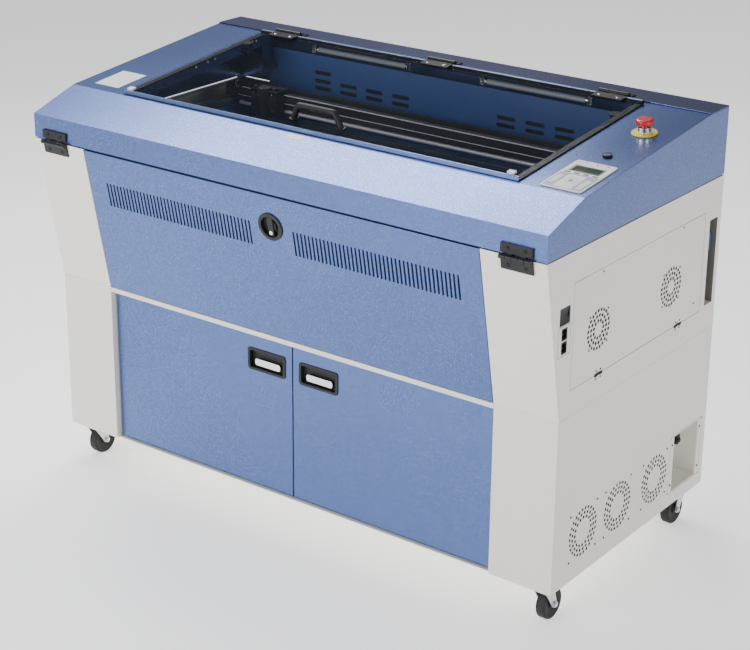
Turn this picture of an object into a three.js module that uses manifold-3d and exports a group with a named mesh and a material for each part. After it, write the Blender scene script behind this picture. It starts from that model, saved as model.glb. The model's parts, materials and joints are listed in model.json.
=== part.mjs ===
// A floor-standing laser cutter: a stand with two doors on four casters, a body with a slanted
// drop-front, and a hood with a clear lid that tilts forward on two front hinges.
// Millimetres, +X to the right, +Y to the back, +Z up, origin under the middle of the object.
import * as THREE from "three";
import { mergeVertices } from "three/addons/utils/BufferGeometryUtils.js";
import Module from "manifold-3d";

const wasm = await Module();
wasm.setup();

// ---- driving dimensions ----
const width = 1450; // over the two sides
const depth = 762; // hood front face to back panel
const standHeight = 410; // stand, under the body
const bodyTop = 780; // top of the body, under the hood
const hoodGap = 3; // dark gap between the body and the hood
const hoodFace = 58; // height of the hood's upright front
const hoodFold = 135; // depth of the hood's steep front slope
const foldRise = 44; // rise of that slope
const ridgeRise = 56; // rise of the top plane from fold to ridge
const ridgeBack = 89; // depth of the flat strip behind the ridge
const frontSlant = 72; // how far the body's top leans out over the stand
const columnWidth = 161; // cream front columns
const sheet = 2.5; // folded sheet steel
const gap = 0.3; // between pieces that touch
const trimOut = 3; // how far screw heads and small hinges stand out of the sides
const seam = 1.5; // open joints round doors and panels
const returnDepth = 30; // folded inner edge of a column

// ---- casters ----
const casterHeight = 95;
const wheelRadius = 37.5;
const wheelWidth = 24;
const casterTrail = 22;
const casterInset = 42; // swivel axis from the side, front and back of the stand
const casterPlate = { size: 74, thick: 4 };
const forkThick = 3;
const swivelRadius = 19;
const swivelHeight = 10;
const axleRadius = 5;

// ---- lid and its opening ----
const openingSide = 167; // of the hood's top left beside the opening
const openingFront = 13; // along the top plane, from the fold
const openingToRidge = 12;
const openingLip = 2.5;
const openingLipDepth = 30;
const lidOverlap = 4;
const lidFrameWidth = 16;
const lidFrameThick = 3;
const acrylic = 5;
const lidHinge = { count: 3, pitch: 480, width: 78, leaf: 3, reach: 30, radius: 5, pin: 2.2 };
const pinHeight = 13; // of the lid hinge pin over the top plane
const pinBack = 8; // of the pin behind the opening

// ---- gas struts: both ends lie on one circle round the lid hinge ----
const strutArm = 100;
const strutDrop = 30; // of the lid stud under the hinge pin, square to the lid
const strutApex = THREE.MathUtils.degToRad(70); // between the two studs, lid closed
const strutClear = 12; // inside the opening's edge
const strutRadius = 8;
const strutRodRadius = 3.5;
const strutBore = 4.5;
const strutLength = 104;
const studRadius = 3;
const studBore = 3.6;

// ---- front panel, vents and latch ----
const panelFold = 20;
const vents = { perSide: 42, pitch: 10.7, width: 5, height: 62, from: 64, level: 238 };
const latch = { radius: 34, level: 298, cup: 9, cam: 26 };

// ---- doors ----
const doorSet = 15; // back from the column fronts
const doorThick = 18;
const doorFoot = 4;
const doorHead = 391;
const pull = { width: 108, height: 50, depth: 13, level: 331, fromSplit: 77, wall: 2 };
const stripHeight = 12;

// ---- openings of the right side ----
const access = { front: 114, back: depth - 78, low: 470, high: 708, swing: 469 };
const accessHinge = { fromEnds: [113, 105], width: 30, radius: 2.7, reach: 10, leaf: 2 };
const accessFans = [access.front + 105, access.back - 148];
const accessFanLevel = 574;
const fanSize = { access: 44, stand: 55 };
const fanDepth = 26;
const standFans = [198, 347, 516];
const standFanLevel = 105;
const service = { front: depth - 173, back: depth - 22, low: 34, high: 181, rim: 16, depth: 64 };
const inlet = { front: 56, back: 103, low: 560, high: 624, depth: 40, socket: 18 };
const rocker = { front: 60, back: 99, low: 629, high: 665, thick: 9, tilt: 5 };
const cablePort = { front: depth - 54, back: depth - 16, low: 475, high: 684, depth: 22 };

// ---- chamber, rails and gantry ----
const chamberClear = 6; // outside the columns' inner edges
const chamberSet = 40; // behind the stand's front
const chamberBehindRidge = 24;
const chamberFloor = 425;
const chamberRim = 770;
const chamberWallTop = 898;
const railWidth = 20;
const railHeight = 20;
const railOut = 8; // from the chamber wall
const beamPark = 131; // parked beam's front to the chamber's rear wall
const beamDepth = 62;
const beamLow = 782;
const beamHigh = 820;
const headWidth = 84;
const headAt = -455;
const tableClear = { side: 32, front: 38, back: 57 };
const tableTop = 738;
const tableThick = 14;
const slats = 11;

// ---- hood fittings ----
const hoodHinge = { fromSide: 32, width: 77, low: 750, high: 808, leaf: 5, radius: 6, pin: 2.5 };
const hoodPin = { y: -7, z: 779 };
const lamp = { radius: 8, length: 312, leftAt: -250, rightAt: 266, drop: 22, back: 14 };
const control = { x: width / 2 - 67.5, width: 99, from: 13, to: 166, thick: 3 };
const display = { width: 75, from: 105, to: 140 };
const keyLock = { from: 216, radius: 11, rise: 8 };
const stop = { from: 372, ring: 29, collar: 17, button: 20, rise: 16, travel: 5 };
const grip = { half: 68, from: 52, rise: 44, radius: 8, foot: 11 };
const exhaust = { level: 600, radius: 75, wall: 3, reach: 62, flange: 96 };
const tube = { behind: 30, z: 850, radius: 22, shorter: 10, saddle: 14 };

// ---- worked out from the above ----
const half = width / 2;
const hoodBottom = bodyTop + hoodGap;
const foldZ = hoodBottom + hoodFace + foldRise;
const ridgeY = depth - ridgeBack;
const ridgeZ = foldZ + ridgeRise;
const topSlope = Math.atan2(ridgeRise, ridgeY - hoodFold);
const frontSlope = Math.atan2(frontSlant, bodyTop - standHeight);
const columnInner = half - columnWidth;
const innerBack = depth - sheet - gap;
const insideHalf = half - sheet - gap;
const openingHalf = half - openingSide;
const openingRear = (ridgeY - hoodFold) / Math.cos(topSlope) - openingToRidge;
const strutX = openingHalf - strutClear;
const chamberHalf = columnInner + chamberClear;
const chamberFront = frontSlant + chamberSet;
const chamberRear = ridgeY + chamberBehindRidge;
const beamFront = chamberRear - beamPark;
const tableHalf = chamberHalf - tableClear.side;
const tableFront = chamberFront + tableClear.front;
const tableBack = chamberRear - tableClear.back;
const tubeY = chamberRear + tube.behind;
const tubeHalf = chamberHalf - tube.shorter;
const accessHingePlaces = [
  access.front + accessHinge.fromEnds[0],
  access.back - accessHinge.fromEnds[1],
];
const slantY = (z) => (frontSlant * (bodyTop - z)) / (bodyTop - standHeight);

// ---- solids ----
function solid(geometry) {
  const bare = geometry.clone();
  bare.deleteAttribute("normal");
  bare.deleteAttribute("uv");
  const merged = mergeVertices(bare, 1e-4);
  return new wasm.Manifold(
    new wasm.Mesh({
      numProp: 3,
      vertProperties: new Float32Array(merged.attributes.position.array),
      triVerts: new Uint32Array(merged.index.array),
    }),
  );
}

function surface(body) {
  const mesh = body.getMesh();
  const points = new Float32Array(mesh.numVert * 3);
  for (let i = 0; i < mesh.numVert; i++) {
    points.set(mesh.vertProperties.subarray(i * mesh.numProp, i * mesh.numProp + 3), i * 3);
  }
  const indexed = new THREE.BufferGeometry()
    .setAttribute("position", new THREE.BufferAttribute(points, 3))
    .setIndex(new THREE.BufferAttribute(mesh.triVerts, 1));
  const flat = indexed.toNonIndexed();
  flat.computeVertexNormals();
  return flat;
}

const joined = (...list) => list.reduce((a, b) => a.add(b));
const cut = (body, ...tools) => tools.reduce((a, b) => a.subtract(b), body);

function box(xa, xb, ya, yb, za, zb) {
  const size = [Math.abs(xb - xa), Math.abs(yb - ya), Math.abs(zb - za)];
  const shape = new THREE.BoxGeometry(...size);
  return solid(shape.translate((xa + xb) / 2, (ya + yb) / 2, (za + zb) / 2));
}

// A cylinder from a to b along one axis, with the other two coordinates of its centre line.
// A flat one stands on a facet, which touches the circle, instead of on an edge.
function rod(axis, radius, a, b, [u, v], sides = 16, flat = false) {
  const reach = flat ? radius / Math.cos(Math.PI / sides) : radius;
  const shape = new THREE.CylinderGeometry(reach, reach, Math.abs(b - a), sides);
  if (flat) shape.rotateY(Math.PI / sides);
  const middle = (a + b) / 2;
  if (axis === "x") shape.rotateZ(Math.PI / 2).translate(middle, u, v);
  if (axis === "y") shape.translate(u, middle, v);
  if (axis === "z") shape.rotateX(Math.PI / 2).translate(u, v, middle);
  return solid(shape);
}

// An outline of [y, z] points run along X.
function prismX(points, xa, xb) {
  const outline = new THREE.Shape(points.map(([y, z]) => new THREE.Vector2(y, z)));
  const run = { depth: Math.abs(xb - xa), bevelEnabled: false };
  const shape = new THREE.ExtrudeGeometry(outline, run);
  const axes = [new THREE.Vector3(0, 1, 0), new THREE.Vector3(0, 0, 1), new THREE.Vector3(1, 0, 0)];
  shape.applyMatrix4(new THREE.Matrix4().makeBasis(...axes));
  return solid(shape.translate(Math.min(xa, xb), 0, 0));
}

// An outline of [x, y] points run up Z.
function prismZ(points, za, zb) {
  const outline = new THREE.Shape(points.map(([x, y]) => new THREE.Vector2(x, y)));
  const shape = new THREE.ExtrudeGeometry(outline, { depth: zb - za, bevelEnabled: false });
  return solid(shape.translate(0, 0, za));
}

const paint = (colour, roughness, metalness) =>
  new THREE.MeshStandardMaterial({ color: colour, roughness, metalness });
const finish = {
  blue: paint(0x7d92ba, 0.45, 0.35),
  strip: paint(0x505a87, 0.45, 0.35),
  cream: paint(0xe1ded6, 0.5, 0),
  navy: paint(0x2d4682, 0.5, 0.2),
  black: paint(0x17181a, 0.45, 0.1),
  rubber: paint(0x1b1b1d, 0.85, 0),
  zinc: paint(0xb9bcc0, 0.35, 0.9),
  chrome: paint(0xd8dadd, 0.12, 1),
  aluminium: paint(0x9a9ea5, 0.4, 0.9),
  smoke: paint(0x2b3542, 0.08, 0),
  frosted: paint(0xe9edf2, 0.5, 0),
  glass: paint(0xbfd3d6, 0.05, 0),
  red: paint(0xc4202a, 0.35, 0),
  yellow: paint(0xe2bc1e, 0.45, 0),
  white: paint(0xe8e9ea, 0.4, 0),
  lcd: paint(0x16301f, 0.15, 0),
};

function part(name, body, material, parent) {
  const mesh = new THREE.Mesh(surface(body), material);
  mesh.name = name;
  parent.add(mesh);
  return mesh;
}

// ---- scene graph: the machine stands with its body bottom at the casters' height ----
const frontMost = hoodPin.y - hoodHinge.radius;
const backMost = depth + exhaust.reach;
const root = new THREE.Group();
const machine = new THREE.Group();
machine.position.set(0, -(frontMost + backMost) / 2, casterHeight);
root.add(machine);

const hood = new THREE.Group();
machine.add(hood);
const topPlane = new THREE.Group();
topPlane.position.set(0, hoodFold, foldZ);
topPlane.rotation.x = topSlope;
hood.add(topPlane);
const frontPlane = new THREE.Group();
frontPlane.position.set(0, frontSlant, standHeight);
frontPlane.rotation.x = frontSlope;
machine.add(frontPlane);

// ---- fans: a square frame with a motor boss, and a rotor, both along X ----
function grille(radius, y, z, xa, xb) {
  const ring = cut(
    rod("x", radius - 3, xa, xb, [y, z], 16),
    rod("x", 13, xa - 1, xb + 1, [y, z], 8),
  );
  const spoke = 4;
  return cut(
    ring,
    box(xa - 1, xb + 1, y - spoke, y + spoke, z - radius, z + radius),
    box(xa - 1, xb + 1, y - radius, y + radius, z - spoke, z + spoke),
  );
}

function fanFrame(radius, y, z, face) {
  const inside = face - fanDepth;
  const side = radius + 5;
  const bore = radius - 1;
  const arm = 3;
  const block = box(inside, face + 0.1, y - side, y + side, z - side, z + side);
  const open = cut(block, rod("x", bore, inside - 1, face + 1, [y, z], 16));
  const boss = rod("x", 13, inside, inside + 4, [y, z], 8);
  const arms = joined(
    box(inside, inside + 3, y - bore - 2, y + bore + 2, z - arm, z + arm),
    box(inside, inside + 3, y - arm, y + arm, z - bore - 2, z + bore + 2),
  );
  return joined(open, boss, arms);
}

function fanRotor(name, radius, y, z, face) {
  const group = new THREE.Group();
  group.position.set(face - fanDepth / 2, y, z);
  machine.add(group);
  const reach = radius - 5;
  const chord = 15;
  let body = rod("x", 14, -6, 8, [0, 0], 10);
  const blades = 5;
  for (let i = 0; i < blades; i++) {
    const blade = new THREE.BoxGeometry(2, chord, reach - 10);
    blade.rotateZ(0.6).translate(1, 0, 10 + (reach - 10) / 2);
    blade.rotateX((i * 2 * Math.PI) / blades);
    body = body.add(solid(blade));
  }
  part(name, body, finish.black, group);
}

// ---- stand ----
// A stand side is one folded sheet: the side, the front column and the column's inner return.
function standSide(side) {
  const outer = side * half;
  const inner = side * columnInner;
  const flank = box(outer, side * (half - sheet), frontSlant, innerBack, 0, standHeight);
  const front = box(outer, inner, frontSlant, frontSlant + sheet, 0, standHeight);
  const edge = side * (columnInner + sheet);
  const back = frontSlant + returnDepth;
  const fold = box(inner, edge, frontSlant, back, 0, standHeight);
  return joined(flank, front, fold);
}

// Dome-headed screws that hold a side cover, at [y, z] places.
function sideScrews(side, places) {
  const heads = places.map(([y, z]) =>
    rod("x", 6, side * (half - sheet), side * (half + trimOut), [y, z], 8),
  );
  return joined(...heads);
}

const standScrewRows = [30, standHeight - 28];
const standScrews = standScrewRows.flatMap((z) => [105, innerBack - 22].map((y) => [y, z]));
part("stand_left_side", standSide(-1).add(sideScrews(-1, standScrews)), finish.cream, machine);

let standRight = standSide(1).add(sideScrews(1, standScrews));
const serviceHole = [
  service.front - seam,
  service.back + seam,
  service.low - seam,
  service.high + seam,
];
standRight = cut(standRight, box(half - sheet - 1, half + 1, ...serviceHole));
const standFace = half - sheet;
for (const y of standFans) {
  standRight = cut(standRight, grille(fanSize.stand, y, standFanLevel, standFace - 1, half + 1));
  standRight = standRight.add(fanFrame(fanSize.stand, y, standFanLevel, standFace));
}
part("stand_right_side", standRight, finish.cream, machine);
standFans.forEach((y, i) => {
  fanRotor("stand_fan_rotor_" + (i + 1), fanSize.stand, y, standFanLevel, standFace);
});

// The base tray carries the four caster top plates.
const casterX = half - casterInset;
const casterFront = frontSlant + casterInset;
const casterRear = depth - casterInset;
const casters = [
  ["front_left", -casterX, casterFront, 1],
  ["front_right", casterX, casterFront, 1],
  ["rear_left", -casterX, casterRear, -1],
  ["rear_right", casterX, casterRear, -1],
];
const baseFront = frontSlant + sheet + gap;
const baseInner = columnInner - gap;
let base = prismZ(
  [
    [-insideHalf, baseFront + returnDepth],
    [-baseInner, baseFront + returnDepth],
    [-baseInner, frontSlant + doorSet / 2],
    [baseInner, frontSlant + doorSet / 2],
    [baseInner, baseFront + returnDepth],
    [insideHalf, baseFront + returnDepth],
    [insideHalf, innerBack],
    [-insideHalf, innerBack],
  ],
  0,
  sheet,
);
const plateHalf = casterPlate.size / 2;
for (const [, x, y] of casters) {
  base = base.add(
    box(x - plateHalf, x + plateHalf, y - plateHalf, y + plateHalf, -casterPlate.thick, -gap),
  );
  base = base.add(box(x - 20, x + 20, y, y + Math.sign(depth / 2 - y) * plateHalf, -1, 1));
}
part("stand_base", base, finish.cream, machine);

// The deck closes the stand; its folded front edge is the cream strip over the doors.
const deckShoulder = frontSlant + returnDepth + 1;
const deck = prismZ(
  [
    [-insideHalf, deckShoulder],
    [-baseInner, deckShoulder],
    [-baseInner, frontSlant],
    [baseInner, frontSlant],
    [baseInner, deckShoulder],
    [insideHalf, deckShoulder],
    [insideHalf, innerBack],
    [-insideHalf, innerBack],
  ],
  standHeight - sheet,
  standHeight,
);
const stripLow = standHeight - stripHeight;
const stripEdge = box(-baseInner, baseInner, frontSlant, frontSlant + sheet, stripLow, standHeight);
part("stand_deck", deck.add(stripEdge), finish.cream, machine);

// The service box is a pressed recess with a rim that fills the hole in the stand's right side.
const serviceRim = box(half - sheet, half, service.front, service.back, service.low, service.high);
const serviceCup = box(
  half - service.depth,
  half - sheet + 0.1,
  service.front + service.rim,
  service.back - service.rim,
  service.low + 2,
  service.high - 2,
);
const serviceHollow = box(
  half - service.depth + sheet,
  half + 1,
  service.front + service.rim + sheet,
  service.back - service.rim - sheet,
  service.low + 2 + sheet,
  service.high - 2 - sheet,
);
part("service_box", cut(serviceRim.add(serviceCup), serviceHollow), finish.cream, machine);

// ---- body ----
// A body side is one folded sheet whose front column leans out to the hood.
function bodySide(side) {
  const low = standHeight + gap;
  const outline = [
    [slantY(bodyTop), bodyTop],
    [slantY(low), low],
    [innerBack, low],
    [innerBack, bodyTop],
  ];
  const flank = prismX(outline, side * (half - sheet), side * half);
  const face = (inward) => [
    [slantY(bodyTop) + inward, bodyTop],
    [slantY(low) + inward, low],
    [slantY(low), low],
    [slantY(bodyTop), bodyTop],
  ];
  const front = prismX(face(sheet).reverse(), side * columnInner, side * half);
  const edge = side * (columnInner + sheet);
  const fold = prismX(face(returnDepth).reverse(), side * columnInner, edge);
  const shelf = box(
    side * (half - sheet),
    side * (half - returnDepth),
    slantY(bodyTop) + sheet,
    innerBack,
    bodyTop - sheet,
    bodyTop,
  );
  return joined(flank, front, fold, shelf);
}

const bodyScrewRows = [standHeight + 26, bodyTop - 26];
const bodyScrews = bodyScrewRows.flatMap((z) => [105, innerBack - 24].map((y) => [y, z]));
part("body_left_side", bodySide(-1).add(sideScrews(-1, bodyScrews)), finish.cream, machine);

let bodyRight = bodySide(1).add(sideScrews(1, bodyScrews));
const sideHoles = [
  [access.front - seam, access.back + seam, access.low - seam, access.high + seam],
  [inlet.front - seam, inlet.back + seam, inlet.low - seam, inlet.high + seam],
  [rocker.front - seam, rocker.back + seam, rocker.low - seam, rocker.high + seam],
  [cablePort.front, cablePort.back, cablePort.low, cablePort.high],
];
for (const hole of sideHoles) {
  bodyRight = cut(bodyRight, box(half - sheet - 1, half + 1, ...hole));
}
const portFloor = half - cablePort.depth;
bodyRight = bodyRight.add(
  cut(
    box(
      portFloor - sheet,
      half - sheet,
      cablePort.front - sheet,
      cablePort.back + sheet,
      cablePort.low - sheet,
      cablePort.high + sheet,
    ),
    box(portFloor, half, cablePort.front, cablePort.back, cablePort.low, cablePort.high),
  ),
);

// Small butt hinges under the access panel: the outer knuckles are the body's.
const knuckle = accessHinge.width / 3;
const hingeRoom = access.swing - accessHinge.radius - 1;
function accessKnuckles(middle, own) {
  const spans = own
    ? [[-knuckle / 2 + gap, knuckle / 2 - gap]]
    : [
        [-accessHinge.width / 2, -knuckle / 2],
        [knuckle / 2, accessHinge.width / 2],
      ];
  const turn = own ? 1 : -1;
  const pieces = spans.map(([a, b]) =>
    joined(
      rod("y", accessHinge.radius, middle + a, middle + b, [half, access.swing], 12),
      box(
        half - 1,
        half + accessHinge.leaf,
        middle + a,
        middle + b,
        access.swing + turn,
        access.swing + turn * (accessHinge.radius + 3),
      ),
    ),
  );
  const leafNear = access.swing + turn * (accessHinge.radius + 1);
  const leafFar = access.swing + turn * (accessHinge.radius + accessHinge.reach);
  const leaf = box(
    half - 1,
    half + accessHinge.leaf,
    middle - accessHinge.width / 2,
    middle + accessHinge.width / 2,
    leafNear,
    leafFar,
  );
  return joined(...pieces, leaf);
}
for (const middle of accessHingePlaces) {
  const reach = accessHinge.width / 2 + 1;
  bodyRight = cut(
    bodyRight,
    box(half - sheet - 1, half + 1, middle - reach, middle + reach, hingeRoom, access.low),
  );
  bodyRight = bodyRight.add(accessKnuckles(middle, false));
}
part("body_right_side", bodyRight, finish.cream, machine);

// The back panel closes stand and body; the exhaust leaves through it.
const backPanel = cut(
  box(-half, half, depth - sheet, depth, sheet, bodyTop),
  rod("y", exhaust.radius - exhaust.wall, depth - sheet - 1, depth + 1, [0, exhaust.level], 24),
);
part("back_panel", backPanel, finish.cream, machine);
const collar = joined(
  rod("y", exhaust.flange, depth + gap, depth + gap + exhaust.wall, [0, exhaust.level], 24),
  rod("y", exhaust.radius, depth + gap, depth + exhaust.reach, [0, exhaust.level], 24),
);
const collarBore = rod(
  "y",
  exhaust.radius - exhaust.wall,
  depth - 1,
  backMost + 1,
  [0, exhaust.level],
  24,
);
part("exhaust_collar", cut(collar, collarBore), finish.zinc, machine);

// The power inlet block fills its hole with two sockets; the rocker over it is the mains switch.
const inletMiddle = (inlet.front + inlet.back) / 2;
let inletBlock = box(
  half - inlet.depth,
  half,
  inlet.front,
  inlet.back,
  inlet.low,
  inlet.high,
);
for (const share of [0.27, 0.73]) {
  const z = inlet.low + share * (inlet.high - inlet.low);
  inletBlock = cut(
    inletBlock,
    box(half - 20, half + 1, inletMiddle - inlet.socket / 2, inletMiddle + inlet.socket / 2, z - 11, z + 11),
  );
}
part("power_inlet", inletBlock, finish.black, machine);
const rockerMiddle = (rocker.low + rocker.high) / 2;
const rockerBack = half - rocker.thick;
const rockerOutline = [
  [rocker.low + 1, rockerBack],
  [rocker.high - 1, rockerBack],
  [rocker.high, half - 1],
  [rockerMiddle, half - rocker.tilt],
  [rocker.low, half - 1],
];
const rockerShape = new THREE.Shape(rockerOutline.map(([z, x]) => new THREE.Vector2(x, z)));
const rockerRun = { depth: rocker.back - rocker.front, bevelEnabled: false };
const rockerGeometry = new THREE.ExtrudeGeometry(rockerShape, rockerRun);
rockerGeometry.rotateX(Math.PI / 2).translate(0, rocker.back, 0);
part("power_switch", solid(rockerGeometry), finish.black, machine);

// The access panel sits flush in the right side and carries two fans.
let accessPanel = box(half - sheet, half, access.front, access.back, access.low, access.high);
for (const y of accessFans) {
  const square = [y, accessFanLevel];
  accessPanel = cut(accessPanel, grille(fanSize.access, ...square, standFace - 1, half + 1));
  accessPanel = accessPanel.add(fanFrame(fanSize.access, ...square, standFace));
}
for (const middle of accessHingePlaces) {
  const reach = accessHinge.width / 2 + 1;
  const notchTop = access.swing + accessHinge.radius + 0.8;
  accessPanel = cut(
    accessPanel,
    box(half - sheet - 1, half + 1, middle - reach, middle + reach, access.low - 1, notchTop),
  );
  accessPanel = accessPanel.add(accessKnuckles(middle, true));
}
part("access_panel", accessPanel, finish.cream, machine);
accessFans.forEach((y, i) => {
  fanRotor("access_fan_rotor_" + (i + 1), fanSize.access, y, accessFanLevel, standFace);
});

// ---- chamber: a sheet tray with a tall vented rear wall ----
const wallOut = chamberHalf + sheet;
let chamber = joined(
  box(-wallOut, wallOut, chamberFront, chamberRear + sheet, chamberFloor, chamberFloor + sheet),
  box(-wallOut, wallOut, chamberRear, chamberRear + sheet, chamberFloor, chamberWallTop),
);
for (const side of [-1, 1]) {
  const railShelf = side * (wallOut + railOut + railWidth);
  chamber = joined(
    chamber,
    box(side * chamberHalf, side * wallOut, chamberFront, chamberRear + 1, chamberFloor, chamberRim),
    box(side * chamberHalf, railShelf, chamberFront, chamberRear, chamberRim - sheet, chamberRim),
    box(
      side * 400,
      side * 440,
      chamberFront + 20,
      chamberRear - 20,
      standHeight + gap,
      chamberFloor + 1,
    ),
  );
}
const slot = { width: 50, height: 9, pitch: 82, rows: [831, 812], first: 853 };
const slotColumns = [-391, -308, -226, -143, 172, 254, 337, 420];
for (const x of slotColumns) {
  const rows = x === slotColumns[0] ? [slot.first, ...slot.rows] : slot.rows;
  for (const z of rows) {
    chamber = cut(
      chamber,
      box(
        x - slot.width / 2,
        x + slot.width / 2,
        chamberRear - 1,
        chamberRear + sheet + 1,
        z - slot.height / 2,
        z + slot.height / 2,
      ),
    );
  }
}
part("chamber_tray", chamber, finish.navy, machine);

const railInner = wallOut + railOut;
for (const [name, side] of [
  ["left", -1],
  ["right", 1],
]) {
  const rail = box(
    side * railInner,
    side * (railInner + railWidth),
    chamberFront + 12,
    chamberRear - 6,
    chamberRim + gap,
    chamberRim + gap + railHeight,
  );
  part("rail_" + name, rail, finish.aluminium, machine);
}

// ---- gantry beam: a box section between two end blocks that ride on the rails ----
const railTop = chamberRim + gap + railHeight;
const beamBack = beamFront + beamDepth;
const beamEnd = railInner - 4;
let beam = cut(
  box(-beamEnd, beamEnd, beamFront, beamBack, beamLow, beamHigh),
  box(-beamEnd + 6, beamEnd - 6, beamFront + 18, beamBack - 8, beamHigh - 14, beamHigh + 1),
);
for (const side of [-1, 1]) {
  beam = beam.add(
    box(
      side * (beamEnd - 6),
      side * (railInner + railWidth + 2),
      beamFront - 8,
      beamBack + 8,
      railTop + gap,
      beamHigh + 3,
    ),
  );
}
part("gantry_beam", beam, finish.black, machine);
const headFront = beamFront - 34;
const headLeft = headAt - headWidth / 2;
const headRight = headAt + headWidth / 2;
const headBody = joined(
  box(headLeft, headRight, headFront, beamFront - gap, beamLow - 10, beamHigh + 12),
  box(headLeft, headRight, headFront, beamFront + 16, beamHigh + gap, beamHigh + 12),
  rod("z", 17, beamLow - 30, beamHigh + 18, [headAt, headFront + 6], 16),
  rod("z", 6, tableTop + 5, beamLow - 20, [headAt, headFront + 6], 12),
);
part("laser_head", headBody, finish.aluminium, machine);

// ---- work table: a frame of bars with knife slats ----
const frameBar = 22;
const tableLow = tableTop - tableThick;
let table = cut(
  box(-tableHalf, tableHalf, tableFront, tableBack, tableLow, tableTop),
  box(
    -tableHalf + frameBar,
    tableHalf - frameBar,
    tableFront + frameBar,
    tableBack - frameBar,
    tableLow - 1,
    tableTop + 1,
  ),
);
const slatPitch = (tableBack - tableFront - 2 * frameBar) / (slats + 1);
for (let i = 1; i <= slats; i++) {
  const y = tableFront + frameBar + i * slatPitch;
  table = table.add(
    box(-tableHalf + frameBar - 1, tableHalf - frameBar + 1, y - 2, y + 2, tableLow + 2, tableTop - 1),
  );
}
part("work_table", table, finish.aluminium, machine);

// ---- laser tube in the space behind the chamber wall ----
let laserTube = rod("x", tube.radius, -tubeHalf, tubeHalf, [tubeY, tube.z], 20);
for (const side of [-1, 1]) {
  const at = side * tubeHalf * 0.62;
  laserTube = laserTube.add(
    box(
      at - tube.saddle,
      at + tube.saddle,
      chamberRear + sheet + gap,
      tubeY,
      tube.z - tube.radius - 6,
      tube.z + 4,
    ),
  );
}
part("laser_tube", laserTube, finish.glass, machine);

// ---- doors and their recessed pulls ----
const doorOuter = columnInner - 4;
const doorPlane = frontSlant + doorSet;
for (const [name, side] of [
  ["left", -1],
  ["right", 1],
]) {
  const inner = side * seam;
  const pullAt = side * pull.fromSplit;
  const halfPull = pull.width / 2;
  const opening = [
    pullAt - halfPull,
    pullAt + halfPull,
    pull.level - pull.height / 2,
    pull.level + pull.height / 2,
  ];
  const [left, right, low, high] = opening;
  const shell = cut(
    box(inner, side * doorOuter, doorPlane, doorPlane + doorThick, doorFoot, doorHead),
    box(
      side * (seam + sheet),
      side * (doorOuter - sheet),
      doorPlane + sheet,
      doorPlane + doorThick + 1,
      doorFoot + sheet,
      doorHead - sheet,
    ),
    box(left, right, doorPlane - 1, doorPlane + doorThick + 1, low, high),
  );
  part(name + "_door", shell, finish.blue, machine);
  const cup = cut(
    box(left + gap, right - gap, doorPlane, doorPlane + pull.depth, low + gap, high - gap),
    box(
      left + gap + pull.wall,
      right - gap - pull.wall,
      doorPlane - 1,
      doorPlane + pull.depth - pull.wall,
      low + gap + pull.wall,
      high - gap - pull.wall,
    ),
  );
  const bar = rod(
    "x",
    2.5,
    left + gap + 1,
    right - gap - 1,
    [doorPlane + 5, pull.level - pull.height / 2 + 12],
    8,
  );
  part(name + "_door_pull", cup.add(bar), finish.black, machine);
}

// ---- drop-front panel: local z runs up the slant, local y into the body ----
const frontHalf = columnInner - 2;
const panelLow = seam;
const panelHigh = (bodyTop - standHeight) / Math.cos(frontSlope) - seam;
let frontPanel = cut(
  box(-frontHalf, frontHalf, 0, panelFold, panelLow, panelHigh),
  box(
    -frontHalf + sheet,
    frontHalf - sheet,
    sheet,
    panelFold + 1,
    panelLow + sheet,
    panelHigh - sheet,
  ),
);
const ventTools = [];
for (const side of [-1, 1]) {
  for (let i = 0; i < vents.perSide; i++) {
    const x = side * (vents.from + i * vents.pitch);
    const tool = box(
      x - vents.width / 2,
      x + vents.width / 2,
      -1,
      sheet + 1,
      vents.level,
      vents.level + vents.height,
    );
    ventTools.push(tool);
  }
}
frontPanel = cut(frontPanel, joined(...ventTools));
const latchHole = rod("y", latch.radius - 5, -1, sheet + 1, [0, latch.level], 24);
part("front_panel", cut(frontPanel, latchHole), finish.blue, frontPlane);

const latchGroup = new THREE.Group();
latchGroup.position.set(0, 0, latch.level);
frontPlane.add(latchGroup);
const latchBody = cut(
  joined(
    rod("y", latch.radius, -3, -gap, [0, 0], 32),
    rod("y", latch.radius - 5 - 2 * gap, -1, latch.cup, [0, 0], 24),
    box(-6, 6, latch.cup - 1, latch.cup + 4, -6, latch.cam + 6),
  ),
  rod("y", latch.radius - 9, -4, latch.cup - 2, [0, 0], 24),
);
const paddle = box(-9, 9, -2, latch.cup - 1, -latch.radius + 8, latch.radius - 8);
part("front_panel_latch", latchBody.add(paddle), finish.black, latchGroup);

// ---- hood: a folded shell, open underneath, with the lid opening in its top ----
const hoodOutline = (inset) => {
  const lift = inset / Math.cos(topSlope);
  return [
    [inset, hoodBottom - (inset ? 1 : 0)],
    [depth - inset, hoodBottom - (inset ? 1 : 0)],
    [depth - inset, ridgeZ - inset],
    [ridgeY, ridgeZ - lift],
    [hoodFold + inset * 0.15, foldZ - lift],
    [inset, hoodBottom + hoodFace - inset * 0.85],
  ];
};
let hoodShell = cut(
  prismX(hoodOutline(0), -half, half),
  prismX(hoodOutline(sheet), -half + sheet, half - sheet),
);
// Pieces that lie in the top plane are modelled in its frame and turned into the hood's.
function onTopPlane(body) {
  const placed = surface(body);
  placed.rotateX(topSlope).translate(0, hoodFold, foldZ);
  return solid(placed);
}
hoodShell = cut(
  hoodShell,
  onTopPlane(box(-openingHalf, openingHalf, openingFront, openingRear, -20, 20)),
);
const lipOut = openingHalf + openingLip;
hoodShell = hoodShell.add(
  onTopPlane(box(-lipOut, lipOut, openingFront - openingLip, openingFront, -openingLipDepth, -1)),
);
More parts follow.
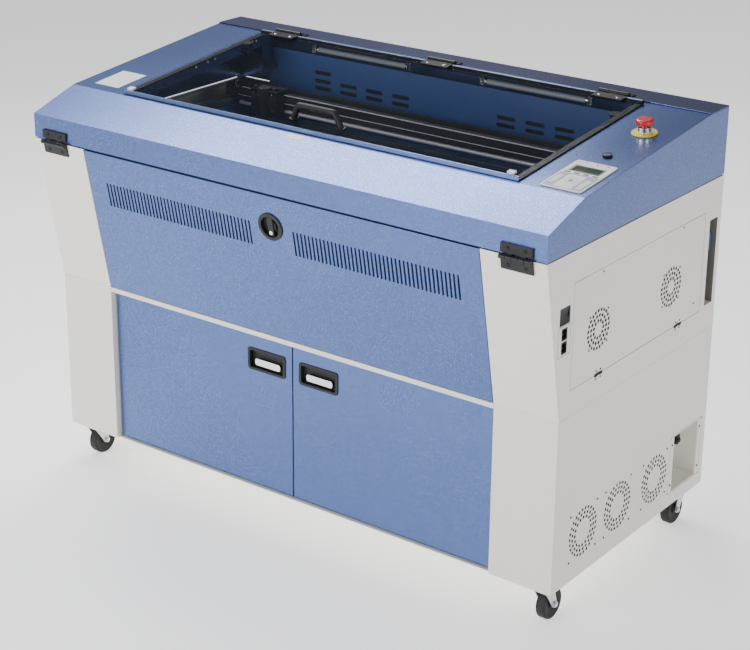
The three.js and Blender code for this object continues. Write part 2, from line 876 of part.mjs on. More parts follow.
// The lid hinge's pin in the hood's frame, and the strut studs on their circle round it.
const pinS = openingRear + pinBack;
const pinY = hoodFold + pinS * Math.cos(topSlope) - pinHeight * Math.sin(topSlope);
const pinZ = foldZ + pinS * Math.sin(topSlope) + pinHeight * Math.cos(topSlope);
const lidStudAngle = topSlope + Math.asin(strutDrop / strutArm);
const onCircle = (angle) => [
  pinY - strutArm * Math.cos(angle),
  pinZ - strutArm * Math.sin(angle),
];
const [lidStudY, lidStudZ] = onCircle(lidStudAngle);
const [baseStudY, baseStudZ] = onCircle(lidStudAngle + strutApex);
for (const side of [-1, 1]) {
  hoodShell = joined(
    hoodShell,
    onTopPlane(
      box(
        side * openingHalf,
        side * lipOut,
        openingFront - openingLip,
        openingRear,
        -openingLipDepth,
        -1,
      ),
    ),
    box(
      side * openingHalf,
      side * lipOut,
      baseStudY - 18,
      baseStudY + 18,
      baseStudZ - 14,
      ridgeZ - sheet + 0.5,
    ),
    rod(
      "x",
      studRadius,
      side * (strutX - 6),
      side * (openingHalf + 1),
      [baseStudY, baseStudZ],
      12,
    ),
  );
}
part("hood_shell", hoodShell, finish.blue, hood);

// The rear strip lies behind the ridge and carries the outer knuckles and pins of the lid hinges.
const stripThick = 3;
const stripTop = ridgeZ + gap + stripThick;
const stripFront = pinY + lidHinge.radius + 2;
let rearStrip = box(-half, half, stripFront, depth, ridgeZ + gap, stripTop);
const hingePlaces = Array.from(
  { length: lidHinge.count },
  (_, i) => (i - (lidHinge.count - 1) / 2) * lidHinge.pitch,
);
const lidKnuckle = lidHinge.width / 3;
for (const x of hingePlaces) {
  for (const side of [-1, 1]) {
    const inner = x + side * (lidKnuckle / 2);
    const outer = x + side * (lidHinge.width / 2);
    rearStrip = joined(
      rearStrip,
      rod("x", lidHinge.radius, inner, outer, [pinY, pinZ], 16),
      box(inner, outer, pinY, stripFront + 2, stripTop - 1, pinZ - 1),
    );
  }
  rearStrip = joined(
    rearStrip,
    rod("x", lidHinge.pin, x - lidHinge.width / 2, x + lidHinge.width / 2, [pinY, pinZ], 12),
    box(
      x - lidHinge.width / 2,
      x + lidHinge.width / 2,
      stripFront,
      stripFront + lidHinge.reach,
      stripTop - 1,
      stripTop + lidHinge.leaf,
    ),
  );
}
part("hood_rear_strip", rearStrip, finish.strip, hood);

// ---- lid: frame with hinge leaves and strut lugs, clear sheet, bridge handle ----
const lidHalf = openingHalf + lidOverlap;
const lidFront = openingFront - lidOverlap;
const lidRear = openingRear + 1;
const lidLift = 0.6;
const lidSheetLow = lidLift + lidFrameThick + gap;
const lidSheetHigh = lidSheetLow + acrylic;
const lidBar = 9;
let lidFrame = cut(
  box(-lidHalf, lidHalf, lidFront, lidRear, lidLift, lidLift + lidFrameThick),
  box(
    -lidHalf + lidFrameWidth,
    lidHalf - lidFrameWidth,
    lidFront + lidFrameWidth,
    lidRear - lidFrameWidth,
    lidLift - 1,
    lidLift + lidFrameThick + 1,
  ),
);
const leafLow = lidSheetHigh + gap;
lidFrame = lidFrame.add(
  box(-lidHalf, lidHalf, lidRear - lidBar, lidRear, lidLift, leafLow + 1),
);
for (const x of hingePlaces) {
  const inner = lidKnuckle / 2 - gap * 2;
  const barrel = cut(
    joined(
      rod("x", lidHinge.radius, x - inner, x + inner, [pinS, pinHeight], 16),
      box(x - inner, x + inner, lidRear - 2, pinS, pinHeight - 4, pinHeight - 1),
    ),
    rod("x", lidHinge.pin + 0.5, x - inner - 1, x + inner + 1, [pinS, pinHeight], 12),
  );
  lidFrame = joined(
    lidFrame,
    box(
      x - lidHinge.width / 2,
      x + lidHinge.width / 2,
      lidRear - lidHinge.reach,
      lidRear,
      leafLow,
      leafLow + lidHinge.leaf,
    ),
    barrel,
  );
}
const lugInner = strutX - 16;
const lidStudS = pinS - strutArm * Math.cos(Math.asin(strutDrop / strutArm));
const lidStudN = pinHeight - strutDrop;
for (const side of [-1, 1]) {
  lidFrame = joined(
    lidFrame,
    box(
      side * (lugInner - 2),
      side * (lidHalf - 2),
      lidStudS - 12,
      lidStudS + 12,
      lidLift,
      lidLift + lidFrameThick,
    ),
    box(
      side * lugInner,
      side * (lugInner + 3),
      lidStudS - 8,
      lidStudS + 8,
      lidStudN - 6,
      lidLift + 1,
    ),
    rod("x", studRadius, side * lugInner, side * (strutX + 6), [lidStudS, lidStudN], 12),
  );
}
part("lid_frame", lidFrame, finish.black, topPlane);
const lidSheet = box(
  -lidHalf,
  lidHalf,
  lidFront,
  lidRear - lidBar - gap,
  lidSheetLow,
  lidSheetHigh,
);
part("lid_window", lidSheet, finish.smoke, topPlane);
const gripFoot = lidSheetHigh + gap;
const gripRise = gripFoot + grip.rise;
const handle = joined(
  rod("x", grip.radius, -grip.half, grip.half, [grip.from, gripRise - grip.radius], 16),
  rod("z", grip.foot, gripFoot, gripRise - grip.radius, [-grip.half + 8, grip.from], 16),
  rod("z", grip.foot, gripFoot, gripRise - grip.radius, [grip.half - 8, grip.from], 16),
);
part("lid_handle", handle, finish.black, topPlane);

// ---- gas struts: a cylinder on the hood's stud and a rod on the lid's, on one line ----
const strutTurn = Math.atan2(baseStudY - lidStudY, lidStudZ - baseStudZ);
const eyeHalf = 5;
function strutEye() {
  return cut(
    rod("x", strutRadius, -eyeHalf, eyeHalf, [0, 0], 16),
    rod("x", studBore, -eyeHalf - 1, eyeHalf + 1, [0, 0], 12),
  );
}
for (const [name, side] of [
  ["left", -1],
  ["right", 1],
]) {
  const lower = new THREE.Group();
  lower.position.set(side * strutX, baseStudY, baseStudZ);
  lower.rotation.x = strutTurn;
  hood.add(lower);
  const neck = strutRadius - 2;
  const cylinder = joined(
    strutEye(),
    cut(
      rod("z", strutRadius - 1, neck, strutLength, [0, 0], 16),
      rod("z", strutBore, neck + 6, strutLength + 1, [0, 0], 12),
    ),
  );
  part("strut_cylinder_" + name, cylinder, finish.black, lower);
  const upper = new THREE.Group();
  upper.position.set(side * strutX, lidStudY, lidStudZ);
  upper.rotation.x = strutTurn;
  hood.add(upper);
  const rodEye = cut(
    rod("x", studRadius + 3, -eyeHalf, eyeHalf, [0, 0], 16),
    rod("x", studBore, -eyeHalf - 1, eyeHalf + 1, [0, 0], 12),
  );
  const shaft = rod("z", strutRodRadius, -strutLength + 8, -studRadius - 1.5, [0, 0], 12);
  part("strut_rod_" + name, rodEye.add(shaft), finish.chrome, upper);
}

// ---- front hinges: black butt hinges between the columns and the hood ----
const knuckles = 5;
const knuckleRun = hoodHinge.width / knuckles;
function frontHingeLeaf(side, upper) {
  const clear = 0.4;
  const start = side * (half - hoodHinge.fromSide - hoodHinge.width);
  const at = (i) => start + side * i * knuckleRun;
  const near = hoodPin.z + (upper ? 1 : -1) * (hoodHinge.radius + 2.5);
  const far = upper ? hoodHinge.high : hoodHinge.low;
  const backAt = (z) => (upper ? -gap : slantY(z) - gap);
  const plate = (a, b, from, to) => {
    const outline = [
      [backAt(from), from],
      [backAt(to), to],
      [backAt(to) - hoodHinge.leaf, to],
      [backAt(from) - hoodHinge.leaf, from],
    ];
    return prismX(upper ? outline.reverse() : outline, a, b);
  };
  let leaf = plate(start, start + side * hoodHinge.width, near, far);
  for (let i = 0; i < knuckles; i++) {
    if ((i % 2 === 0) === upper) continue;
    const a = at(i) + (i > 0 ? side * clear : 0);
    const b = at(i + 1) - (i < knuckles - 1 ? side * clear : 0);
    const bore = rod("x", hoodHinge.pin + 0.6, a - side, b + side, [hoodPin.y, hoodPin.z], 12);
    const barrel = rod("x", hoodHinge.radius, a, b, [hoodPin.y, hoodPin.z], 16);
    const knuckleSolid = barrel.add(plate(a, b, near, hoodPin.z + (upper ? 3.4 : -3.4)));
    leaf = leaf.add(upper ? cut(knuckleSolid, bore) : knuckleSolid);
  }
  if (!upper) {
    leaf = leaf.add(
      rod("x", hoodHinge.pin, at(0) + side, at(knuckles) - side, [hoodPin.y, hoodPin.z], 12),
    );
  }
  return leaf;
}
for (const [name, side] of [
  ["left", -1],
  ["right", 1],
]) {
  part("hood_hinge_lower_" + name, frontHingeLeaf(side, false), finish.black, machine);
  part("hood_hinge_upper_" + name, frontHingeLeaf(side, true), finish.black, hood);
}

// ---- work lamps under the rear edge of the opening ----
const lampY = hoodFold + openingRear + lamp.back;
const lampZ = ridgeZ - lamp.drop;
for (const [name, x] of [
  ["left", lamp.leftAt],
  ["right", lamp.rightAt],
]) {
  const from = x - lamp.length / 2;
  const to = x + lamp.length / 2;
  const socket = 14;
  let tubeLamp = rod("x", lamp.radius, from, to, [lampY, lampZ], 16);
  for (const at of [from, to - socket]) {
    tubeLamp = tubeLamp.add(
      box(at, at + socket, lampY - 9, lampY + 9, lampZ - 10, ridgeZ - sheet - 1.2),
    );
  }
  part("work_lamp_" + name, tubeLamp, finish.frosted, hood);
}

// ---- controls on the hood's right margin ----
const controlHalf = control.width / 2;
const displayHole = [
  control.x - display.width / 2,
  control.x + display.width / 2,
  display.from,
  display.to,
];
const controlPanel = cut(
  box(
    control.x - controlHalf,
    control.x + controlHalf,
    control.from,
    control.to,
    gap,
    gap + control.thick,
  ),
  box(...displayHole, gap + 1, gap + control.thick + 1),
);
part("control_panel", controlPanel, finish.white, topPlane);
const displayWindow = box(
  displayHole[0] + gap,
  displayHole[1] - gap,
  displayHole[2] + gap,
  displayHole[3] - gap,
  gap + 1 + gap,
  gap + control.thick + 0.6,
);
part("display_window", displayWindow, finish.lcd, topPlane);

const keyGroup = new THREE.Group();
keyGroup.position.set(control.x - 7, keyLock.from, gap);
topPlane.add(keyGroup);
const keyBody = joined(
  rod("z", keyLock.radius, 0, keyLock.rise, [0, 0], 20),
  rod("z", 6, keyLock.rise - 1, keyLock.rise + 3, [0, 0], 16),
  box(-1.2, 1.2, -6, 6, keyLock.rise + 2, keyLock.rise + 24),
);
part("key_switch", keyBody, finish.chrome, keyGroup);

const stopGroup = new THREE.Group();
stopGroup.position.set(control.x - 5.5, stop.from, gap);
topPlane.add(stopGroup);
const collarTop = stop.rise;
const stopCollar = cut(
  joined(
    rod("z", stop.ring, 0, 3, [0, 0], 28),
    rod("z", stop.collar, 2, collarTop, [0, 0], 20),
  ),
  rod("z", 9, 4, collarTop + 1, [0, 0], 16),
);
part("stop_collar", stopCollar, finish.yellow, stopGroup);
const stopButton = joined(
  rod("z", 8, 4 + stop.travel + 1, collarTop + stop.travel + 2, [0, 0], 16),
  rod("z", stop.button, collarTop + stop.travel + 1, collarTop + stop.travel + 13, [0, 0], 28),
);
part("stop_button", stopButton, finish.red, stopGroup);

// ---- casters ----
const axleZ = wheelRadius - casterHeight;
const forkTop = -casterPlate.thick - gap;
for (const [name, x, y, back] of casters) {
  const group = new THREE.Group();
  group.position.set(x, y, 0);
  machine.add(group);
  const trail = back * casterTrail;
  const cheek = wheelWidth / 2 + 1.5;
  const crown = forkTop - swivelHeight;
  let fork = rod("z", swivelRadius, crown, forkTop, [0, 0], 20);
  const reach = cheek + forkThick;
  fork = fork.add(box(-reach, reach, -18, 18, crown - 3, crown + 1));
  const fin = [
    [-18 * back, crown],
    [18 * back, crown],
    [trail + 9 * back, axleZ - 4],
    [trail, axleZ - 9],
    [trail - 9 * back, axleZ - 4],
  ];
  const finOutline = back > 0 ? fin : fin.reverse();
  for (const side of [-1, 1]) {
    fork = fork.add(prismX(finOutline, side * cheek, side * reach));
  }
  fork = fork.add(rod("x", axleRadius, -reach - 2, reach + 2, [trail, axleZ], 12));
  part("caster_fork_" + name, fork, finish.zinc, group);
  const wheel = cut(
    rod("x", wheelRadius, -wheelWidth / 2, wheelWidth / 2, [trail, axleZ], 32, true),
    rod("x", axleRadius + 0.5, -wheelWidth, wheelWidth, [trail, axleZ], 12),
  );
  part("caster_wheel_" + name, wheel, finish.rubber, group);
  if (back > 0) {
    const pedalHalf = cheek - 0.5;
    const armTop = crown - 3 - gap;
    const padFront = trail + wheelRadius + 3;
    const pedal = joined(
      box(-pedalHalf, pedalHalf, 19, padFront + 3, armTop - 2, armTop),
      box(-pedalHalf, pedalHalf, padFront, padFront + 3, armTop - 11, armTop),
      box(-pedalHalf, pedalHalf, padFront, padFront + 20, armTop - 12, armTop - 9),
    );
    part("caster_brake_" + name, pedal, finish.zinc, group);
  }
}

export default root;
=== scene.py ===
import bpy
import json
import math
from mathutils import Matrix, Vector


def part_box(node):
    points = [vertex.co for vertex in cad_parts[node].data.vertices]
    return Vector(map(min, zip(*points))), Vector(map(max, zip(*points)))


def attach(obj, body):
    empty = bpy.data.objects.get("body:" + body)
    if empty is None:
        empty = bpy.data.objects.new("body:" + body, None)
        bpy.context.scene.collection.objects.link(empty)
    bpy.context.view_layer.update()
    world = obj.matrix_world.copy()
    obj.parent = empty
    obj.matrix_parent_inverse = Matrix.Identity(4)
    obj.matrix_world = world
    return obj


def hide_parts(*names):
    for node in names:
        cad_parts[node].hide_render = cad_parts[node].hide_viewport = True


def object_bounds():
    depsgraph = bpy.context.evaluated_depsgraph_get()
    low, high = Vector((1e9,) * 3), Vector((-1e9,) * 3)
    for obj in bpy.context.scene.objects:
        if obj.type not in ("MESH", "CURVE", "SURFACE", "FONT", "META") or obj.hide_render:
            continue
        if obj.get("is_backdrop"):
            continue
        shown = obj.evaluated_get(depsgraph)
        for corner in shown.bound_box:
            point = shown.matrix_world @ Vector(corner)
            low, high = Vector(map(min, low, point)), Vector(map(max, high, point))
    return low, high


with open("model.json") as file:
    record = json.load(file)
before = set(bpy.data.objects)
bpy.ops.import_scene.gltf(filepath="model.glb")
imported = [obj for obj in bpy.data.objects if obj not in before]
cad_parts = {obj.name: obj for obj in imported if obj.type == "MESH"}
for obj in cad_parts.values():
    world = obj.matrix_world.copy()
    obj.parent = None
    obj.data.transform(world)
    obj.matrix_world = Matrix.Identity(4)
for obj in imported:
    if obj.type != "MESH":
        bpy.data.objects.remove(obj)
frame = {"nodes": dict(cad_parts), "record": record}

cad_low, cad_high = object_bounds()

# The camera stands in front of the machine's right corner at a tall person's eye height,
# on a long lens, so that the front, the right side and the lid all show.
lens_data = bpy.data.cameras.new("camera")
lens_data.sensor_width = 36.0
lens_data.lens = 89.5
lens_data.shift_y = -0.0667
camera = bpy.data.objects.new("camera", lens_data)
bpy.context.scene.collection.objects.link(camera)
camera.matrix_world = (
    Matrix.Translation((2.519, -3.3839, 2.1444))
    @ Matrix.Rotation(math.radians(36.681), 4, "Z")
    @ Matrix.Rotation(math.radians(90 - 20.484), 4, "X")
    @ Matrix.Rotation(math.radians(0.488), 4, "Z")
)
bpy.context.scene.camera = camera


# The studio lamps are a wide soft box over the machine, whose light the steep front of the hood
# throws to the camera, a large soft one in front, and a weak one at the right side.
def soft_lamp(name, place, target, size, power):
    data = bpy.data.lights.new(name, "AREA")
    data.shape = "RECTANGLE"
    data.size, data.size_y = size
    data.energy = power
    lamp = bpy.data.objects.new(name, data)
    bpy.context.scene.collection.objects.link(lamp)
    lamp.location = place
    lamp.rotation_mode = "QUATERNION"
    lamp.rotation_quaternion = (Vector(target) - Vector(place)).to_track_quat("-Z", "Y")


soft_lamp("top_lamp", (-1.75, 0.85, 3.3), (0, -0.3, 0.9), (3.4, 1.4), 150)
soft_lamp("front_lamp", (-0.9, -4.4, 2.0), (0, 0, 0.5), (3.0, 2.4), 165)
soft_lamp("side_lamp", (4.2, -0.6, 1.9), (0.6, 0, 0.5), (1.6, 2.0), 44)

sky = bpy.data.worlds.new("sky")
sky.use_nodes = True
sky.node_tree.nodes["Background"].inputs["Color"].default_value = (0.90, 0.93, 1.0, 1)
sky.node_tree.nodes["Background"].inputs["Strength"].default_value = 0.22
bpy.context.scene.world = sky


# The floor is one pale slab of sealed concrete under the wheels. A Level is one shader value
# that Python sums can be written on; a Finish is one material, with a method for any node.
class Level:
    def __init__(self, finish, socket):
        self.finish = finish
        self.socket = socket

    def sum(self, how, first, second):
        return self.finish.node("ShaderNodeMath", {"operation": how}, {0: first, 1: second})

    def __add__(self, other):
        return self.sum("ADD", self, other)

    def __radd__(self, other):
        return self.sum("ADD", other, self)

    def __sub__(self, other):
        return self.sum("SUBTRACT", self, other)

    def __mul__(self, other):
        return self.sum("MULTIPLY", self, other)

    def __gt__(self, other):
        return self.sum("GREATER_THAN", self, other)


class Finish:
    def __init__(self, name, **sockets):
        self.material = bpy.data.materials.new(name)
        self.material.use_nodes = True
        self.tree = self.material.node_tree
        self.shader = self.tree.nodes["Principled BSDF"]
        self.set(**sockets)

    def feed(self, node, key, value):
        socket = node.inputs[key]
        if isinstance(value, Level):
            self.tree.links.new(value.socket, socket)
        elif socket.type == "RGBA":
            socket.default_value = (*value, 1)
        else:
            socket.default_value = value

    def set(self, **sockets):
        for key, value in sockets.items():
            self.feed(self.shader, key.replace("_", " "), value)

    def node(self, kind, settings, sockets, out=0):
        made = self.tree.nodes.new(kind)
        for key, value in settings.items():
            setattr(made, key, value)
        for key, value in sockets.items():
            self.feed(made, key, value)
        return Level(self, made.outputs[out])

    def noise(self, scale, detail=2.0, stretch=(1, 1, 1)):
        here = self.node("ShaderNodeTexCoord", {}, {}, "Object")
        place = self.node("ShaderNodeMapping", {}, {"Vector": here, "Scale": stretch})
        sockets = {"Vector": place, "Scale": scale, "Detail": detail}
        return self.node("ShaderNodeTexNoise", {}, sockets, 0)

    def cells(self, scale, out):
        here = self.node("ShaderNodeTexCoord", {}, {}, "Object")
        return self.node("ShaderNodeTexVoronoi", {}, {"Vector": here, "Scale": scale}, out)

    def band(self, value, low, high):
        sockets = {"Value": value, "From Min": low, "From Max": high}
        return self.node("ShaderNodeMapRange", {}, sockets)

    def mix(self, share, first, second):
        made = self.tree.nodes.new("ShaderNodeMix")
        made.data_type = "RGBA"
        self.feed(made, 0, share)
        self.feed(made, 6, first)
        self.feed(made, 7, second)
        return Level(self, made.outputs[2])

    def bump(self, height, depth, strength=0.6):
        sockets = {"Height": height, "Distance": depth, "Strength": strength}
        self.set(Normal=self.node("ShaderNodeBump", {}, sockets))
        return self


def textured_coat(name, base, soil, rough, grain, wrinkle):
    coat = Finish(name)
    drift = coat.band(coat.noise(2.4, 3.0), 0.35, 0.7)
    grit = coat.band(coat.noise(grain), 0.3, 0.7)
    body = coat.mix(drift * 0.2 + grit * 0.12, base, soil)
    coat.set(Base_Color=body, Roughness=rough + drift * 0.07 + grit * 0.05)
    return coat.bump(coat.noise(grain * 0.8, 3.0), wrinkle)


bpy.ops.object.select_all(action="DESELECT")
bpy.ops.mesh.primitive_plane_add(size=60, location=(0, 0, cad_low.z - 0.0004))
floor = bpy.context.object
floor.name = "floor"
floor_coat = textured_coat("floor_coat", (0.93, 0.935, 0.94), (0.90, 0.905, 0.91), 0.5, 90.0, 0.00002)
floor_coat.set(Emission_Color=(1, 1, 1), Emission_Strength=0.80)
floor.data.materials.append(floor_coat.material)
floor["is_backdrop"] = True


# The stand's sides are folded steel sheets in cream textured powder coat: flank, front column
# and the column's inner return. The left sheet is welded up from its solid and its folds are
# rounded; the right one is its mirror, punched for three fans and for the service box.
MM = 0.001
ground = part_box("stand_left_side")[0].z
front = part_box("hood_shell")[0].y
bodies = frame["record"]["behaviour"]["bodies"]
node_body = {node: body for body, nodes in bodies.items() for node in nodes}
sheet = 2.5
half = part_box("hood_shell")[1].x / MM
standing = Matrix.Translation((0, front, ground)) @ Matrix.Scale(MM, 4)


def only(piece):
    if bpy.context.mode != "OBJECT":
        bpy.ops.object.mode_set(mode="OBJECT")
    bpy.ops.object.select_all(action="DESELECT")
    piece.select_set(True)
    bpy.context.view_layer.objects.active = piece


def pick(piece, kind, test):
    """Opens the piece in edit mode with what passes the test selected: a vertex by its place,
    an edge by its two ends, a face by its centre and normal."""
    only(piece)
    bpy.ops.object.mode_set(mode="EDIT")
    bpy.ops.mesh.select_mode(type=kind)
    bpy.ops.mesh.select_all(action="DESELECT")
    bpy.ops.object.mode_set(mode="OBJECT")
    mesh = piece.data
    spots = [v.co.copy() for v in mesh.vertices]
    if kind == "VERT":
        for vertex in mesh.vertices:
            vertex.select = test(vertex.co)
    if kind == "EDGE":
        for edge in mesh.edges:
            edge.select = test(spots[edge.vertices[0]], spots[edge.vertices[1]])
    if kind == "FACE":
        for face in mesh.polygons:
            face.select = test(face.center, face.normal)
    bpy.ops.object.mode_set(mode="EDIT")


def done():
    bpy.ops.object.mode_set(mode="OBJECT")


def apply_modifier(piece, kind, **settings):
    only(piece)
    modifier = piece.modifiers.new(kind.lower(), kind)
    for key, value in settings.items():
        setattr(modifier, key, value)
    bpy.ops.object.modifier_apply(modifier=modifier.name)


def round_edges(piece, radius, steps=2, angle=30):
    apply_modifier(
        piece, "BEVEL", width=radius * MM, segments=steps, limit_method="ANGLE",
        angle_limit=math.radians(angle), miter_outer="MITER_ARC",
    )


def settle(piece, name, finish, body, nodes=(), smooth=38):
    """Names a finished piece, gives it its finish and hands it to the body it moves with."""
    only(piece)
    piece.name = name
    piece.data.name = name
    piece.data.materials.clear()
    piece.data.materials.append(finish.material)
    bpy.ops.object.transform_apply(location=True, rotation=True, scale=True)
    bpy.ops.object.shade_smooth_by_angle(angle=math.radians(smooth))
    apply_modifier(piece, "WEIGHTED_NORMAL", keep_sharp=True)
    if nodes:
        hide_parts(*nodes)
    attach(piece, body)
    return piece


def stand_in(piece, name, finish, node, smooth=38):
    """Settles a piece that stands for one solid, in that solid's slot and body."""
    return settle(piece, name, finish, node_body[node], (node,), smooth)


def copied(node):
    """A welded copy of a solid, its flat faces whole again."""
    piece = bpy.data.objects.new(node + "_copy", frame["nodes"][node].data.copy())
    bpy.context.scene.collection.objects.link(piece)
    only(piece)
    bpy.ops.mesh.customdata_custom_splitnormals_clear()
    bpy.ops.object.mode_set(mode="EDIT")
    bpy.ops.mesh.select_all(action="SELECT")
    bpy.ops.mesh.remove_doubles(threshold=0.00001)
    bpy.ops.mesh.dissolve_limited(angle_limit=math.radians(1))
    done()
    return piece


def dressed(node, finish, radius=0.7, steps=2, angle=30, name=None, smooth=38):
    """The copy of a solid with rounded edges, standing for it."""
    piece = copied(node)
    round_edges(piece, radius, steps, angle)
    return stand_in(piece, name or node + "_piece", finish, node, smooth)


def shaved(node, side):
    """The copy of a side sheet without its screw heads and hinges."""
    piece = copied(node)
    near, far = sorted((side * (half - 0.05), side * (half + 60)))
    carved(piece, [slab((near, -60, -20), (far, 900, 1100))])
    pick(piece, "FACE", lambda centre, normal: True)
    bpy.ops.mesh.remove_doubles(threshold=0.00001)
    bpy.ops.mesh.dissolve_limited(angle_limit=math.radians(1))
    done()
    return piece


def slab(low, high, edge=0.0, steps=2, place=standing):
    """A block between two corners in millimetres, with rounded edges, put in its place."""
    low, high = Vector(low), Vector(high)
    bpy.ops.object.select_all(action="DESELECT")
    bpy.ops.mesh.primitive_cube_add(size=1, location=(low + high) / 2, scale=high - low)
    piece = bpy.context.object
    bpy.ops.object.transform_apply(location=True, rotation=True, scale=True)
    if edge:
        bpy.ops.object.mode_set(mode="EDIT")
        bpy.ops.mesh.select_all(action="SELECT")
        bpy.ops.mesh.bevel(offset=edge, segments=steps, affect="EDGES")
        done()
    piece.data.transform(place)
    return piece


def rod(start, end, radius, edge=0.0, sides=24, place=standing, steps=2):
    """A round bar between two points in millimetres, with rounded rims."""
    start, end = Vector(start), Vector(end)
    run = end - start
    turn = run.to_track_quat("Z", "Y").to_euler()
    bpy.ops.object.select_all(action="DESELECT")
    bpy.ops.mesh.primitive_cylinder_add(
        vertices=sides, radius=radius, depth=run.length, location=(start + end) / 2, rotation=turn
    )
    piece = bpy.context.object
    bpy.ops.object.transform_apply(location=True, rotation=True, scale=True)
    if edge:
        way = run.normalized()
        pick(piece, "EDGE", lambda a, b: abs((a - b).dot(way)) < 0.01)
        bpy.ops.mesh.bevel(offset=edge, segments=steps, affect="EDGES")
        done()
    piece.data.transform(place)
    return piece


def joined(pieces):
    only(pieces[0])
    for piece in pieces:
        piece.select_set(True)
    if len(pieces) > 1:
        bpy.ops.object.join()
    return pieces[0]


def carved(piece, cutters):
    cutter = joined(cutters)
    apply_modifier(piece, "BOOLEAN", operation="DIFFERENCE", solver="MANIFOLD", object=cutter)
    bpy.data.objects.remove(cutter, do_unlink=True)
    return piece


def repeated(pattern, matrices, keep=False):
    """Copies of one modelled pattern, each with its own mesh, joined."""
    copies = []
    for matrix in matrices:
        copy = pattern.copy()
        copy.data = pattern.data.copy()
        copy.data.transform(matrix)
        bpy.context.scene.collection.objects.link(copy)
        copies.append(copy)
    if not keep:
        bpy.data.objects.remove(pattern, do_unlink=True)
    return joined(copies)


def ring_holes(x, y, z, rings, hole):
    """Punches for one fan grille: holes on rings of (radius, count) round a point of the side."""
    pin = rod((0, 0, 0), (40, 0, 0), hole / 2, sides=10, place=Matrix())
    spots = []
    for radius, count in rings:
        for i in range(count):
            turn = 2 * math.pi * i / count
            spot = (x - 20, y + radius * math.cos(turn), z + radius * math.sin(turn))
            spots.append(standing @ Matrix.Translation(spot))
    return repeated(pin, spots)


cream_base, cream_soil = (0.86, 0.83, 0.765), (0.78, 0.75, 0.685)
cream_coat = textured_coat("cream_powder_coat", cream_base, cream_soil, 0.42, 620.0, 0.00012)
stand_fans = (198, 347, 516)
stand_fan_z = 105
stand_rings = ((55, 26), (44.5, 21), (34, 16))
service = {"front": 589, "back": 740, "low": 34, "high": 181}

left_side = shaved("stand_left_side", -1)
right_side = left_side.copy()
right_side.data = left_side.data.copy()
bpy.context.scene.collection.objects.link(right_side)
right_side.data.transform(Matrix.Scale(-1, 4, (1, 0, 0)))
pick(right_side, "FACE", lambda centre, normal: True)
bpy.ops.mesh.normals_make_consistent(inside=False)
done()
round_edges(left_side, 0.8)
stand_in(left_side, "stand_side_left", cream_coat, "stand_left_side")
round_edges(right_side, 0.8)
for y in stand_fans:
    thinned = rod((half - 4, y, stand_fan_z), (half - 0.9, y, stand_fan_z), 61, sides=48)
    carved(right_side, [thinned])
    carved(right_side, [ring_holes(half, y, stand_fan_z, stand_rings, 8.5)])
hole_low = (half - 9, service["front"] - 1.5, service["low"] - 1.5)
hole_high = (half + 9, service["back"] + 1.5, service["high"] + 1.5)
carved(right_side, [slab(hole_low, hole_high)])
stand_in(right_side, "stand_side_right", cream_coat, "stand_right_side")


# Pan-head machine screws with a cross recess hold the sheets and hinges. One is modelled, and
# the others are copies of it, turned to face out of their sheet.
def black_finish(name, tone, rough, grain, depth):
    black = Finish(name, Specular_IOR_Level=0.25)
    haze = black.band(black.noise(26.0, 4.0), 0.35, 0.75)
    spots = black.band(black.noise(grain), 0.3, 0.7)
    light = tuple(2.2 * c + 0.006 for c in tone)
    black.set(Base_Color=black.mix(haze * 0.35 + spots * 0.2, tone, light))
    black.set(Roughness=rough + haze * 0.08 + spots * 0.06)
    return black.bump(black.noise(grain), depth)


def bright_metal(name, base, cloud, rough, stretch, depth):
    metal = Finish(name, Metallic=1.0)
    drawn = metal.noise(900.0, 2.0, stretch)
    bloom = metal.band(metal.noise(38.0, 4.0), 0.35, 0.7)
    metal.set(Base_Color=metal.mix(bloom * 0.4 + drawn * 0.2, base, cloud))
    metal.set(Roughness=rough + bloom * 0.10 + drawn * 0.10)
    return metal.bump(drawn, depth)


zinc_plate = bright_metal("zinc_plate", (0.62, 0.63, 0.65), (0.44, 0.45, 0.49), 0.22, (1, 1, 1), 0.00003)
# This satin black steel finish also colours the painted shade set inside the chamber's vent slots.
black_and_slot_shade = black_finish("satin_black_steel_and_slot_shade", (0.012, 0.012, 0.013), 0.28, 700.0, 0.00006)
RIGHT, LEFT, UP, FRONT, BACK = (1, 0, 0), (-1, 0, 0), (0, 0, 1), (0, -1, 0), (0, 1, 0)


def screw_head(radius, rise):
    head = rod((0, 0, -0.4), (0, 0, rise), radius, sides=16, place=Matrix())
    pick(head, "EDGE", lambda a, b: min(a.z, b.z) > rise - 0.01)
    bpy.ops.mesh.bevel(offset=rise * 0.62, segments=3, affect="EDGES")
    done()
    for arm in ((radius * 0.55, radius * 0.13), (radius * 0.13, radius * 0.55)):
        cross = slab((-arm[0], -arm[1], rise * 0.4), (arm[0], arm[1], rise + 1), place=Matrix())
        carved(head, [cross])
    return head


def screws(name, finish, body, spots, radius=4.0, rise=2.2, place=standing):
    """One piece of screws at places in millimetres, each facing its own way."""
    matrices = []
    for i, (spot, way) in enumerate(spots):
        turn = Vector(way).to_track_quat("Z", "Y").to_matrix().to_4x4()
        spin = Matrix.Rotation(0.7 * i, 4, "Z")
        matrices.append(place @ Matrix.Translation(spot) @ turn @ spin)
    return settle(repeated(screw_head(radius, rise), matrices), name, finish, body)


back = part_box("back_panel")[1].y / MM - front / MM
side_spots = [(y, z) for z in (30, 382, 436, 754) for y in (105, back - 27)]
left_spots = [((-half, y, z), LEFT) for y, z in side_spots]
screws("screws_left_side", zinc_plate, "cabinet", left_spots, 4.5, 2.4)


